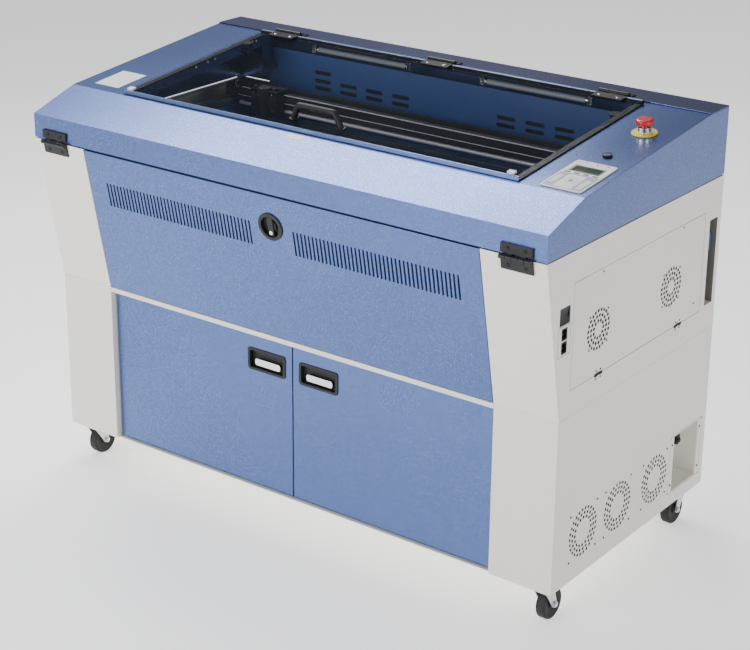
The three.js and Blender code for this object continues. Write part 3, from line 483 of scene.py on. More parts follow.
# The right side's small fan and box screws are black, and lie round each grille and on the
# service box's rim.
fan_corners = ((-56, -56), (-56, 56), (56, -56), (56, 56))
small_spots = [
    ((half, y + dy, stand_fan_z + dz), RIGHT) for y in stand_fans for dy, dz in fan_corners
]
small_spots += [((half, y, z), RIGHT) for y in (597, 732) for z in (56, 160)]
screws("screws_stand_right", black_and_slot_shade, "cabinet", small_spots, 2.6, 1.2)


# The stand's base is a folded tray, and the deck over it closes the stand; the deck's front
# edge is the cream strip over the doors. The caster plates are bolted under the base.
base = copied("stand_base")
pick(base, "FACE", lambda centre, normal: True)
bpy.ops.mesh.bisect(
    plane_co=(0, 0, ground + 0.05 * MM), plane_no=(0, 0, -1),
    use_fill=True, clear_outer=True, threshold=1e-7,
)
bpy.ops.mesh.dissolve_limited(angle_limit=math.radians(1))
done()
round_edges(base, 0.6)
stand_in(base, "stand_base_tray", cream_coat, "stand_base")
dressed("stand_deck", cream_coat, 0.6)
caster_x = half - 42
caster_front, caster_rear = 72 + 42, back - 42
plates = []
bolts = []
for x in (-caster_x, caster_x):
    for y in (caster_front, caster_rear):
        plates.append(slab((x - 37, y - 37, -4), (x + 37, y + 37, -0.3), 1.2, 3))
        bolts += [((x + dx, y + dy, -4), (0, 0, -1)) for dx in (-28, 28) for dy in (-28, 28)]
settle(joined(plates), "caster_plates", zinc_plate, "cabinet", ("stand_base",))
screws("caster_plate_bolts", zinc_plate, "cabinet", bolts, 6.0, 3.4)


# Each caster has a pressed zinc-plated fork on a ball race, a moulded rubber wheel on a bolted
# axle, and at the front a pressed brake pedal with gripping ribs.
tyre_rubber = black_finish("wheel_rubber", (0.016, 0.016, 0.016), 0.55, 320.0, 0.0002)
wheel_radius, axle_z = 37.5, -57.5
for end, y, back_way in (("front", caster_front, 1), ("rear", caster_rear, -1)):
    for hand, x in (("left", -caster_x), ("right", caster_x)):
        tail = end + "_" + hand
        axle_y = y + 22 * back_way
        fork = copied("caster_fork_" + tail)
        round_edges(fork, 0.9)
        races = [
            rod((x, y, -9.5), (x, y, -5), 21, 1.6, 40),
            rod((x, y, -14.5), (x, y, -10.5), 20.5, 1.4, 40),
            rod((x - 20, axle_y, axle_z), (x - 16, axle_y, axle_z), 7.5, 0.8, 6),
            rod((x + 16, axle_y, axle_z), (x + 20.5, axle_y, axle_z), 7.5, 0.8, 6),
            rod((x + 20, axle_y, axle_z), (x + 22, axle_y, axle_z), 4.2, 0.6, 16),
        ]
        fork = joined([fork] + races)
        stand_in(fork, "caster_fork_pressed_" + tail, zinc_plate, "caster_fork_" + tail)
        wheel = rod(
            (x - 12, axle_y, axle_z), (x + 12, axle_y, axle_z), wheel_radius, 4.5, 48, Matrix(), 4
        )
        for step, depth in ((7, -2.0), (2, 0), (12, -3.0), (1.5, 3.5)):
            hub = Vector((axle_y, axle_z))
            pick(wheel, "FACE", lambda c, n: abs(n.x) > 0.99 and (c.yz - hub).length < 1)
            bpy.ops.mesh.inset(thickness=step, depth=depth)
            done()
        wheel.data.transform(standing)
        stand_in(wheel, "caster_tyre_" + tail, tyre_rubber, "caster_wheel_" + tail)
        if end == "front":
            pedal = copied("caster_brake_" + tail)
            round_edges(pedal, 0.7)
            low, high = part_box("caster_brake_" + tail)
            ribs = [pedal]
            for i in range(4):
                rib_y = high.y / MM - front / MM - 3.5 - 4.2 * i
                rib_z = (low.z - ground) / MM + 3
                rib_low, rib_high = (x - 11, rib_y - 1, rib_z - 0.5), (x + 11, rib_y + 1, rib_z + 1.6)
                ribs.append(slab(rib_low, rib_high, 0.5))
            stand_in(joined(ribs), "caster_pedal_" + tail, zinc_plate, "caster_brake_" + tail)


# The service box is a pressed recess low at the back of the right side, with two hose fittings
# and their clamp nuts under its roof.
def rounded_plate(low, high, corner, axis, edge=0.0, place=standing, steps=5):
    """A block whose four edges along one axis are rounded with a large radius."""
    piece = slab(low, high, place=Matrix())
    pick(piece, "EDGE", lambda a, b: 0.01 < abs((a - b)[axis]) > (a - b).length - 0.001)
    bpy.ops.mesh.bevel(offset=corner, segments=steps, affect="EDGES")
    done()
    if edge:
        pick(piece, "EDGE", lambda a, b: abs((a - b)[axis]) < 0.001)
        bpy.ops.mesh.bevel(offset=edge, segments=2, affect="EDGES")
        done()
    piece.data.transform(place)
    return piece


moulded_black = black_finish("moulded_black_plastic", (0.014, 0.014, 0.015), 0.42, 1400.0, 0.00007)
box_rim = (half - sheet, service["front"], service["low"]), (half, service["back"], service["high"])
box_plate = rounded_plate(*box_rim, 7, 0, 0.4)
cup_low, cup_high = (half - 64, service["front"] + 16, 36), (half - 1, service["back"] - 16, 179)
carved(box_plate, [slab(*((x - 4 + 8 * i, *rest) for i, (x, *rest) in enumerate((cup_low, cup_high))))])
box_cup = slab(cup_low, cup_high)
hollow_low = (half - 61.5, cup_low[1] + 1.5, cup_low[2] + 1.5)
hollow_high = (half + 5, cup_high[1] - 1.5, cup_high[2] - 1.5)
carved(box_cup, [slab(hollow_low, hollow_high)])
stand_in(joined([box_plate, box_cup]), "service_box_pressing", cream_coat, "service_box")
stages = ((176, 158, 11, 1.5, 6), (158, 141, 8, 1.5, 24), (141, 132, 10, 1.2, 24), (133, 126, 6, 1.0, 24))
hose_x = half - 30
fittings = [
    rod((hose_x, y, top), (hose_x, y, end), radius, edge, sides)
    for y in (634, 676) for top, end, radius, edge, sides in stages
]
settle(joined(fittings), "service_hose_fittings", moulded_black, "cabinet")


# The doors are pans of folded steel in blue metallic powder coat, whose fine flakes glitter a
# little under a clear layer.
def flake_paint(name, base, flake, share):
    paint = Finish(name, Metallic=0.72, Coat_Weight=0.12, Coat_Roughness=0.15)
    spark = paint.node("ShaderNodeSeparateColor", {}, {"Color": paint.cells(900.0, 1)}, 0)
    lit = spark > (1 - share)
    dark = tuple(0.66 * c for c in base)
    drift = paint.band(paint.noise(3.2, 3.0), 0.35, 0.7)
    fine = paint.band(paint.noise(700.0, 1.0), 0.35, 0.68)
    body = paint.mix(drift * 0.14 + fine * 0.3, base, dark)
    body = paint.mix(lit * 0.4, body, flake)
    paint.set(Base_Color=body, Roughness=0.27 + drift * 0.04 - lit * 0.06)
    return paint.bump(paint.noise(420.0), 0.00003)


blue_paint = flake_paint("blue_flake_paint", (0.082, 0.134, 0.345), (0.34, 0.45, 0.74), 0.12)
dressed("left_door", blue_paint, 1.2, 3)
dressed("right_door", blue_paint, 1.2, 3)


# Each door has a moulded black recessed pull with a rounded flange, and a polished bar across
# it for the fingers.
chrome = bright_metal("polished_chrome", (0.80, 0.81, 0.82), (0.66, 0.67, 0.69), 0.05, (1, 1, 1), 0.000005)
pull_z = 331
for hand, side in (("left", -1), ("right", 1)):
    x = side * 77
    flange = rounded_plate((x - 57, 84.6, pull_z - 28), (x + 57, 86.9, pull_z + 28), 8, 1, 0.8)
    carved(flange, [rounded_plate((x - 50, 80, pull_z - 21.5), (x + 50, 90, pull_z + 21.5), 5, 1)])
    cup = rounded_plate((x - 53, 86.5, pull_z - 24), (x + 53, 100, pull_z + 24), 6, 1)
    carved(cup, [rounded_plate((x - 50, 80, pull_z - 21.5), (x + 50, 98, pull_z + 21.5), 5, 1, 1.5)])
    stand_in(joined([flange, cup]), "pull_cup_" + hand, moulded_black, hand + "_door_pull")
    bar = rounded_plate((x - 38, 89, pull_z - 16), (x + 38, 91, pull_z + 1), 6, 1, 0.7)
    settle(bar, "pull_bar_" + hand, chrome, hand + "_door", (hand + "_door_pull",))


# The drop-front is a slanted pan with two rows of louvre slots with round ends, and a hole for
# the paddle latch.
lean_deep, lean_high, waist_z = 72, 370, 410
slant = math.atan2(lean_deep, lean_high)
slanted = standing @ Matrix.Translation((0, lean_deep, waist_z)) @ Matrix.Rotation(slant, 4, "X")
panel_half, panel_top = 562, 375.4
slot_pitch, slot_width, slot_rise, slot_from, slot_z = 10.7, 5.0, 62, 64, 238
latch_z = 298
pan = slab((-panel_half, 0, 1.5), (panel_half, 20, panel_top), 1.6, 3, slanted)
inner_low, inner_high = (-panel_half + sheet, sheet, 4), (panel_half - sheet, 21, panel_top - sheet)
inner = slab(inner_low, inner_high, place=slanted)
carved(pan, [inner])


def drawn_out(piece, axis, length):
    """A round piece along Y, drawn out along X (0) or Z (2) into an oblong with round ends."""
    pick(piece, "VERT", lambda spot: spot[axis] > 0.01)
    bpy.ops.transform.translate(value=[length * (i == axis) for i in range(3)])
    done()
    return piece


louvre = rod((0, -2, 0), (0, 5, 0), slot_width / 2, sides=12, place=Matrix())
drawn_out(louvre, 2, slot_rise - slot_width)
spots = []
for side in (-1, 1):
    for i in range(42):
        place = (side * (slot_from + i * slot_pitch), 0, slot_z + slot_width / 2)
        spots.append(slanted @ Matrix.Translation(place))
carved(pan, [repeated(louvre, spots)])
carved(pan, [rod((0, -2, latch_z), (0, 5, latch_z), 29.5, sides=48, place=slanted)])
stand_in(pan, "front_panel_pan", blue_paint, "front_panel")


# The latch is a moulded round cup with a rolled rim and a turning paddle across it, over a lock
# barrel.
cup = rod((0, -3, latch_z), (0, 9, latch_z), 29, 0, 48, Matrix())
rim = rod((0, -3.2, latch_z), (0, -0.3, latch_z), 34, 1.1, 64, Matrix())
for ring, thick in ((cup, 7), (rim, 7)):
    carved(ring, [rod((0, -6, latch_z), (0, thick, latch_z), 25.5, 0.6, 48, Matrix())])
dish = [rim, cup]
dish.append(slab((-8, -1.5, latch_z - 24), (8, 7.5, latch_z + 24), 2.4, 3, Matrix()))
dish.append(slab((-13, 2, latch_z - 9), (13, 7.5, latch_z + 9), 2.0, 3, Matrix()))
dish.append(slab((-6, 8, latch_z - 6), (6, 12.5, latch_z + 32), 1.0, 2, Matrix()))
latch = joined(dish)
latch.data.transform(slanted)
stand_in(latch, "front_latch_dish", moulded_black, "front_panel_latch")
barrel = rod((0, -2.4, latch_z - 15), (0, 0, latch_z - 15), 5.0, 0.5, 24, slanted)
settle(barrel, "front_latch_barrel", chrome, "front_latch")


# The body's sides are folded like the stand's, with the front column leaning out to the hood.
# The right one has holes for the access panel, the power inlet and the cable port.
for hand, side in (("left", -1), ("right", 1)):
    node = "body_" + hand + "_side"
    shell = shaved(node, side)
    round_edges(shell, 0.7)
    stand_in(shell, "body_side_" + hand, cream_coat, node)


# The access panel is a cream sheet that hangs on two small butt hinges. Their knuckles show in
# notches of its lower edge. The panel carries two fans behind rings of punched holes.
access_fans, access_fan_z = (219, 536), 574
access_rings = ((43, 23), (31.3, 17), (19.8, 11))
panel = slab((half - sheet, 114, 470), (half, 684, 708), 0.5, 2)
for y in access_fans:
    carved(panel, [rod((half - 4, y, access_fan_z), (half - 0.9, y, access_fan_z), 49, sides=48)])
    carved(panel, [ring_holes(half, y, access_fan_z, access_rings, 8.8)])
hinge_ys, hinge_z = (227, 579), 469
for y in hinge_ys:
    carved(panel, [slab((half - 9, y - 16, 460), (half + 9, y + 16, hinge_z + 3.5))])
stand_in(panel, "access_panel_sheet", cream_coat, "access_panel")
own, fixed, own_spots, fixed_spots = [], [], [], []
for y in hinge_ys:
    fixed.append(rod((half, y - 15, hinge_z), (half, y - 5, hinge_z), 2.6, 0.4, 16))
    fixed.append(rod((half, y + 5, hinge_z), (half, y + 15, hinge_z), 2.6, 0.4, 16))
    fixed.append(slab((half - 0.5, y - 15, hinge_z - 4), (half + 1.6, y - 5, hinge_z - 1), 0.3))
    fixed.append(slab((half - 0.5, y + 5, hinge_z - 4), (half + 1.6, y + 15, hinge_z - 1), 0.3))
    own.append(rod((half, y - 4.6, hinge_z), (half, y + 4.6, hinge_z), 2.6, 0.4, 16))
    own.append(slab((half - 0.5, y - 4.6, hinge_z + 1), (half + 1.6, y + 4.6, hinge_z + 4), 0.3))
    own_spots += [((half, y + dy, hinge_z + 9), RIGHT) for dy in (-9, 9)]
    fixed_spots += [((half, y + dy, hinge_z - 9), RIGHT) for dy in (-9, 9)]
settle(joined(fixed), "access_hinge_lower", black_and_slot_shade, "cabinet")
settle(joined(own), "access_hinge_upper", black_and_slot_shade, "access_panel")
screws("access_hinge_screws_lower", black_and_slot_shade, "cabinet", fixed_spots, 2.4, 1.0)
corner = 37
own_spots += [
    ((half, y + a, access_fan_z + b), RIGHT)
    for y in access_fans for a in (-corner, corner) for b in (-corner, corner)
]
own_spots += [((half, y, z), RIGHT) for y, z in ((228, 701), (580, 702), (652, 499))]
screws("access_panel_screws", black_and_slot_shade, "access_panel", own_spots, 2.4, 1.0)


# Behind each grille sits a square moulded fan: frame, motor boss on four struts, and a rotor
# with seven pitched blades.
def fan_frame(radius, y, z):
    near, far = half - 2.8, half - 28
    side = radius + 4
    frame_block = rounded_plate((far, y - side, z - side), (near, y + side, z + side), 6, 0, 0.8)
    carved(frame_block, [rod((far - 5, y, z), (near + 5, y, z), radius - 1, sides=40)])
    pieces = [frame_block, rod((far, y, z), (far + 5, y, z), 15, 1.0, 24)]
    for turn in range(4):
        way = math.radians(45 + 90 * turn)
        tip = Vector((0, math.cos(way), math.sin(way))) * (radius + 1)
        pieces.append(rod((far + 2, y, z), Vector((far + 2, y, z)) + tip, 2.0, 0.0, 8))
    return pieces


def fan_rotor(name, radius, y, z, node):
    middle = half - 15.5
    hub = rod((middle - 6, y, z), (middle + 8, y, z), 14.5, 2.5, 32, Matrix(), 3)
    reach = radius - 5
    blade = slab((-0.9, -8, 12), (0.9, 8, reach), 0.5, 2, Matrix.Rotation(0.65, 4, "Z"))
    ways = [
        Matrix.Translation((middle, y, z)) @ Matrix.Rotation(2 * math.pi * i / 7, 4, "X")
        for i in range(7)
    ]
    rotor = joined([hub, repeated(blade, ways)])
    rotor.data.transform(standing)
    stand_in(rotor, name, moulded_black, node)


frames = []
for i, y in enumerate(stand_fans):
    frames += fan_frame(55, y, stand_fan_z)
    node = "stand_fan_rotor_" + str(i + 1)
    fan_rotor("stand_rotor_blades_" + str(i + 1), 55, y, stand_fan_z, node)
frames = joined(frames)
settle(frames, "stand_fan_frames", moulded_black, "cabinet", ("stand_right_side",))
frames = []
for i, y in enumerate(access_fans):
    frames += fan_frame(44, y, access_fan_z)
    node = "access_fan_rotor_" + str(i + 1)
    fan_rotor("access_rotor_blades_" + str(i + 1), 44, y, access_fan_z, node)
frames = joined(frames)
settle(frames, "access_fan_frames", moulded_black, "access_panel", ("access_panel",))


# The power inlet is two black three-pin sockets snapped into a cream plate, under a rocker switch.
# The cable port, to the rear of the access panel, holds connectors. Dark grey plates in its
# recess are painted shade.
dressed("power_switch", moulded_black, 1.0, 3)
inlet_plate = slab((half - sheet, 56, 560), (half, 103, 624), 0.4)
sockets, pins = [], []
for z in (577, 607):
    carved(inlet_plate, [slab((half - 9, 68, z - 14), (half + 9, 91, z + 14))])
    socket = rounded_plate((half - 24, 68.2, z - 13.8), (half - 0.3, 90.8, z + 13.8), 3, 0, 0.6)
    carved(socket, [rounded_plate((half - 22, 71, z - 10.5), (half + 5, 88, z + 10.5), 4, 0)])
    sockets.append(socket)
    for dy, dz in ((0, 3), (-5, -4), (5, -4)):
        low, high = (half - 22.5, 78.7 + dy, z + dz - 2), (half - 7, 80.3 + dy, z + dz + 2)
        pins.append(slab(low, high, 0.3))
settle(inlet_plate, "power_inlet_plate", cream_coat, "cabinet", ("power_inlet",))
stand_in(joined(sockets), "power_inlet_sockets", moulded_black, "power_inlet")
settle(joined(pins), "power_inlet_pins", zinc_plate, "cabinet")


def moulding(name, base, rough, **sockets):
    plastic = Finish(name, **sockets)
    haze = plastic.band(plastic.noise(60.0, 3.0), 0.35, 0.7)
    worn = tuple(0.82 * c + 0.02 for c in base)
    plastic.set(Base_Color=plastic.mix(haze * 0.4, base, worn), Roughness=rough + haze * 0.08)
    return plastic.bump(plastic.noise(1500.0, 1.0), 0.00003)


port_x = half - 22
connector_blue = moulding("connector_blue", (0.03, 0.10, 0.42), 0.4)
shade_grey = moulding("port_grey", (0.17, 0.162, 0.145), 0.5)
# Thin dark grey plates on the recess's back, rear wall and roof are painted shade.
recess_shade = [
    slab((port_x + 0.05, 708.3, 475.3), (port_x + 0.6, 745.7, 683.7)),
    slab((port_x + 0.05, 745.2, 475.3), (half - 0.4, 745.8, 683.7)),
    slab((port_x + 0.05, 708.3, 683.2), (half - 0.4, 745.7, 683.8)),
]
settle(joined(recess_shade), "port_recess_painted_shade", shade_grey, "cabinet")
bracket = rounded_plate((port_x + 0.3, 711, 500), (port_x + 2, 743, 660), 3, 0, 0.4)
port_spots = [((port_x + 2, 727, z), RIGHT) for z in (506, 654)]
screws("port_screws", zinc_plate, "cabinet", port_spots, 2.6, 1.2)
shells = [
    rounded_plate((port_x + 1, 719, 520), (port_x + 9, 735, 556), 3, 0, 0.6),
    rounded_plate((port_x + 1, 719, 566), (port_x + 9, 735, 588), 3, 0, 0.6),
]
settle(bracket, "port_bracket", shade_grey, "cabinet")
settle(joined(shells), "port_shells", black_and_slot_shade, "cabinet")
socket = rounded_plate((port_x + 1, 717, 604), (port_x + 12, 737, 644), 3, 0, 0.8)
settle(socket, "port_connector", connector_blue, "cabinet")


# The back panel is a flat cream sheet screwed on all round, with a spun exhaust collar whose
# rolled bead keeps a hose on.
dressed("back_panel", cream_coat, 0.7)
rim_spots = [((x, back, z), BACK) for x in (-700, -350, 0, 350, 700) for z in (24, 760)]
rim_spots += [((x, back, z), BACK) for x in (-700, 700) for z in (210, 400, 590)]
screws("back_panel_screws", zinc_plate, "cabinet", rim_spots, 4.2, 2.2)
collar = rod((0, back + 0.3, 600), (0, back + 3.3, 600), 96, 0.8, 64)
neck = rod((0, back + 0.3, 600), (0, back + 62, 600), 75, 1.2, 64)
bead = rod((0, back + 46, 600), (0, back + 53, 600), 77.5, 2.4, 64, steps=3)
for ring in (collar, neck, bead):
    carved(ring, [rod((0, back - 4, 600), (0, back + 70, 600), 72, sides=64)])
stand_in(joined([collar, neck, bead]), "exhaust_neck", zinc_plate, "exhaust_collar")
turns = [math.radians(30 + 60 * i) for i in range(6)]
flange_spots = [((86 * math.cos(a), back + 3.3, 600 + 86 * math.sin(a)), BACK) for a in turns]
screws("exhaust_screws", zinc_plate, "cabinet", flange_spots, 3.6, 2.0)


# The chamber is a navy sheet tray with a tall rear wall. Its oblong vents have pressed lips with
# round ends, and a black oblong inside each lip is painted shade of the slot.
navy_base, navy_soil = (0.040, 0.095, 0.29), (0.028, 0.060, 0.20)
navy_coat = textured_coat("navy_powder_coat", navy_base, navy_soil, 0.38, 640.0, 0.0001)
tray = copied("chamber_tray")
rims = (ground + 770 * MM, ground + 898 * MM)
pick(tray, "EDGE", lambda a, b: any(max(abs(a.z - z), abs(b.z - z)) < 0.00002 for z in rims))
bpy.ops.mesh.bevel(offset=0.6 * MM, segments=2, affect="EDGES")
done()
stand_in(tray, "chamber_tray_piece", navy_coat, "chamber_tray")
vent_run, wall_y = 42.5, 697
lip = rod((0, -1.4, 0), (0, -0.1, 0), 6.4, 0.4, 20, Matrix())
carved(lip, [rod((0, -4, 0), (0, 4, 0), 5.2, sides=20, place=Matrix())])
drawn_out(lip, 0, vent_run)
slot_columns = (-391, -308, -226, -143, 172, 254, 337, 420)
vents = [(x, z) for x in slot_columns for z in ((853, 831, 812) if x == -391 else (831, 812))]
lips = [standing @ Matrix.Translation((x - vent_run / 2, wall_y, z)) for x, z in vents]
settle(repeated(lip, lips), "chamber_vent_lips", navy_coat, "cabinet")
# The darkness of each vent is painted shade: a thin black oblong set just inside its lip.
dark = drawn_out(rod((0, -0.7, 0), (0, -0.1, 0), 5.4, 0, 20, Matrix()), 0, vent_run)
settle(repeated(dark, lips), "chamber_vent_painted_shade", black_and_slot_shade, "cabinet")


# The gantry is a black anodised box beam on two aluminium rails. Thin bright strips along its
# front edges are painted highlights, and a satin bright rod runs along it lower down. Its right
# end has two polished cap screws, and its left end a small black disc in a polished ring.
drawn_along = (0.03, 1, 1)
alu_base, alu_cloud = (0.56, 0.58, 0.61), (0.42, 0.44, 0.47)
aluminium = bright_metal("brushed_aluminium", alu_base, alu_cloud, 0.26, drawn_along, 0.00003)
rail_x = 590.5
for hand, side in (("left", -1), ("right", 1)):
    rail = copied("rail_" + hand)
    round_edges(rail, 1.2)
    ways = [rail]
    ways.append(rod((side * rail_x, 130, 793.2), (side * rail_x, 684, 793.2), 3.0, 0.4, 16))
    stand_in(joined(ways), "rail_way_" + hand, aluminium, "rail_" + hand)
dressed("gantry_beam", moulded_black, 1.0, 2)
beam_y, beam_top = 566, 820
# The two thin bright strips along the beam's front edges are painted highlights; the third piece is a
# satin bright rod lower down.
beam_highlight_pieces = [
    slab((-566, beam_y - 0.2, beam_top - 3.2), (566, beam_y + 1, beam_top - 0.6), 0.1),
    slab((-566, beam_y - 0.2, 795), (566, beam_y + 1, 797), 0.1),
    rod((-566, beam_y + 7, 774), (566, beam_y + 7, 774), 5.0, 0.6, 20),
]
beam_highlight_and_rod_finish = bright_metal(
    "beam_highlight_and_rod_metal", (0.90, 0.91, 0.93), (0.80, 0.81, 0.84), 0.34, drawn_along, 0.00002
)
beam_highlight_and_rod_finish.set(Metallic=0.4)
settle(joined(beam_highlight_pieces), "gantry_edge_highlights_and_rod", beam_highlight_and_rod_finish, "gantry")
cap_spots = ((574, 572), (574, 604))
caps = [rod((x, y, beam_top + 3), (x, y, beam_top + 10), 6.2, 1.2, 24) for x, y in cap_spots]
for cap, (x, y) in zip(caps, cap_spots):
    carved(cap, [rod((x, y, beam_top + 6), (x, y, beam_top + 14), 3.0, sides=6)])
pulley_z = 831
pulley = rod((-560, beam_y, pulley_z), (-554, beam_y, pulley_z), 20, 1.5, 48)
carved(pulley, [rod((-570, beam_y, pulley_z), (-540, beam_y, pulley_z), 15, sides=40)])
settle(joined(caps + [pulley]), "gantry_bright_parts", chrome, "gantry")
disc = [
    rod((-561, beam_y, pulley_z), (-555, beam_y, pulley_z), 15.5, 1.0, 40),
    rod((-566, beam_y, pulley_z), (-550, beam_y, pulley_z), 6, 1.0, 24),
    slab((-566, 572, 812), (-558, 590, 842), 2.0),
]
settle(joined(disc), "gantry_pulley_disc", black_and_slot_shade, "gantry")


# The laser head is a milled carriage with a black finish, a mirror mount on top and a nozzle
# below. Four small polished knobs stand on its front.
head_x, head_y = -455, 538
head = [
    slab((head_x - 42, 532, 772), (head_x + 42, 565.6, 832), 2.5, 3),
    slab((head_x - 42, 532, 820.4), (head_x + 42, 582, 832), 1.5, 2),
    rod((head_x, head_y, 752), (head_x, head_y, 838), 17, 1.2, 40),
    rod((head_x, head_y, 756), (head_x, head_y, 762), 18.2, 0.8, 40),
    rod((head_x, head_y, 743), (head_x, head_y, 754), 9, 3.0, 32),
    rod((head_x - 30, 540, 832), (head_x - 30, 540, 839), 5, 0.8, 20),
    rod((head_x + 30, 540, 832), (head_x + 30, 540, 839), 5, 0.8, 20),
]
settle(joined(head), "head_carriage", moulded_black, "head", ("laser_head",))
knobs = [
    rod((head_x + dx, 531.8, z), (head_x + dx, 529, z), 4, 0.6, 20)
    for dx in (-30, 30) for z in (782, 822)
]
settle(joined(knobs), "head_knobs", chrome, "head")


# The work table is a frame of aluminium bars that holds a honeycomb of thin strip over knife
# slats.
dressed("work_table", aluminium, 0.5)
table_low, table_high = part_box("work_table")
bar = 22
x0, x1 = table_low.x / MM + bar, table_high.x / MM - bar
y0, y1 = (table_low.y - front) / MM + bar, (table_high.y - front) / MM - bar
table_z = (table_high.z - ground) / MM
cell = 19.0
row_step = cell * 0.866
bpy.ops.object.select_all(action="DESELECT")
bpy.ops.mesh.primitive_cylinder_add(
    vertices=6, radius=cell / 1.732, depth=5, end_fill_type="NOTHING", location=(0, 0, 0)
)
comb_cell = bpy.context.object
cells = []
rows = int((y1 - y0) / row_step) - 1
for row in range(rows):
    shift = cell / 2 if row % 2 else 0
    count = int((x1 - x0 - shift) / cell)
    for i in range(count):
        x = x0 + shift + cell * (i + 0.5)
        y = y0 + row_step * (row + 0.9)
        cells.append(standing @ Matrix.Translation((x, y, table_z - 3.4)))
comb = repeated(comb_cell, cells)
apply_modifier(comb, "SOLIDIFY", thickness=0.5 * MM, offset=0)
settle(comb, "honeycomb", aluminium, "table")


# The laser tube is a closed glass cylinder with metal end caps. It lies on two saddles behind
# the chamber wall.
def clear_sheet(name, tone, cover, rough, smear):
    clear = Finish(name, IOR=1.49)
    wipe = clear.band(clear.noise(7.0, 5.0, (0.5, 1.6, 1)), 0.42, 0.72)
    lighter = tuple(2.2 * c + 0.02 for c in tone)
    clear.set(Base_Color=clear.mix(wipe * 0.3, tone, lighter))
    clear.set(Roughness=rough + wipe * smear, Alpha=cover + wipe * 0.03)
    return clear


tube_glass = clear_sheet("laser_tube_glass", (0.55, 0.68, 0.70), 0.35, 0.03, 0.03)
dressed("laser_tube", tube_glass, 0.8)
tube_y, tube_z, tube_half, saddle_x = 727, 850, 554, 343
ends = [
    rod((s * (tube_half - 30), tube_y, tube_z), (s * (tube_half + 4), tube_y, tube_z), 22.6, 2.0, 32)
    for s in (-1, 1)
]
saddle_low, saddle_high = Vector((-15, tube_y - 24, tube_z - 24)), Vector((15, tube_y + 23, tube_z - 8))
for side in (-1, 1):
    shift = Vector((side * saddle_x, 0, 0))
    ends.append(slab(saddle_low + shift, saddle_high + shift, 2.0))
settle(joined(ends), "laser_tube_caps", aluminium, "cabinet")


# The hood is one folded blue shell: upright front, steep front slope, long top plane with the
# lid's opening, and a flat strip behind the ridge under a darker cover.
hood = copied("hood_shell")
round_edges(hood, 1.6, 3, 8)
stand_in(hood, "hood_folded_shell", blue_paint, "hood_shell", 7)
strip_paint = flake_paint("dark_blue_flake_paint", (0.045, 0.055, 0.15), (0.25, 0.30, 0.50), 0.10)
strip_low, strip_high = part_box("hood_rear_strip")
pin_y = (strip_low.y - front) / MM + 5
pin_z = (strip_high.z - ground) / MM - 5
ridge_z = 941
strip = slab((-half, pin_y + 7, ridge_z + 0.3), (half, back, ridge_z + 3.3), 0.8, 2)
stand_in(strip, "hood_strip_cover", strip_paint, "hood_rear_strip")


# Three black butt hinges carry the lid: each has a leaf on the strip, a leaf on the lid's frame,
# a knuckled barrel and its pin. The lid's frame is a black sheet border under the acrylic.
hinge_xs = (-480, 0, 480)
leaves, leaf_spots = [], []
top_slope = math.atan2(56, 538)
on_top = standing @ Matrix.Translation((0, 135, 885)) @ Matrix.Rotation(top_slope, 4, "X")
for x in hinge_xs:
    leaf_low, leaf_high = (x - 39, pin_y + 7, ridge_z + 3), (x + 39, pin_y + 37, ridge_z + 6)
    leaves.append(rounded_plate(leaf_low, leaf_high, 4, 2, 0.8))
    for side in (-1, 1):
        a, b = sorted((x + side * 13, x + side * 39))
        leaves.append(rod((a, pin_y, pin_z), (b, pin_y, pin_z), 5, 0.8, 24))
        leaves.append(slab((a, pin_y, ridge_z + 2), (b, pin_y + 9, pin_z - 1), 0.8))
        leaf_spots.append(((x + side * 24, pin_y + 27, ridge_z + 6), UP))
    leaves.append(rod((x - 39.5, pin_y, pin_z), (x + 39.5, pin_y, pin_z), 2.2, 0.5, 12))
settle(joined(leaves), "lid_hinge_fixed_leaves", black_and_slot_shade, "hood", ("hood_rear_strip",))
screws("lid_hinge_screws_fixed", black_and_slot_shade, "hood", leaf_spots, 4.4, 1.8)
dressed("lid_frame", black_and_slot_shade, 0.6)
opening_rear = 528.9
moving_spots = [((x + dx, opening_rear - 18, 12.2), UP) for x in hinge_xs for dx in (-24, 24)]
screws("lid_hinge_screws_moving", chrome, "lid", moving_spots, 4.0, 1.8, on_top)


# The lid is one sheet of nearly clear smoked acrylic with polished edges. A pale blue painted lip
# runs along its front edge, and a pale blue strip along its rear edge is a painted highlight of
# the fold. Each front corner has a small white catch.
smoky_acrylic = clear_sheet("smoky_acrylic", (0.012, 0.018, 0.030), 0.11, 0.03, 0.02)
opening_half = 558
window = copied("lid_window")
round_edges(window, 0.9, 3)
stand_in(window, "lid_sheet", smoky_acrylic, "lid_window")
# This pale blue flake paint colours the front lip and also the painted highlight at the rear edge.
trim_and_highlight_blue = flake_paint("pale_blue_paint_and_highlight", (0.22, 0.32, 0.60), (0.6, 0.7, 0.9), 0.12)
trims = [
    slab((-opening_half - 3, 7.9, 1.2), (opening_half + 3, 9.3, 10.6), 0.3, 2, on_top),
    slab((-opening_half - 3, 7.9, 9.3), (opening_half + 3, 11.6, 10.6), 0.3, 2, on_top),
]
settle(joined(trims), "lid_front_trim", trim_and_highlight_blue, "lid")
# The pale blue strip along the rear edge is a painted highlight where the fold catches the light.
lip = slab((-opening_half - 3, 523.4, 10.1), (opening_half + 3, 529.6, 10.9), 0.2, 2, on_top)
settle(lip, "lid_rear_painted_highlight", trim_and_highlight_blue, "lid")
catch_white = moulding("white_moulding", (0.82, 0.83, 0.84), 0.32)
catches = [rounded_plate((x - 9, 12, 9.9), (x + 9, 27, 15), 3, 2, 1.2, on_top) for x in (-545, 538)]
settle(joined(catches), "lid_corner_catches", catch_white, "lid")


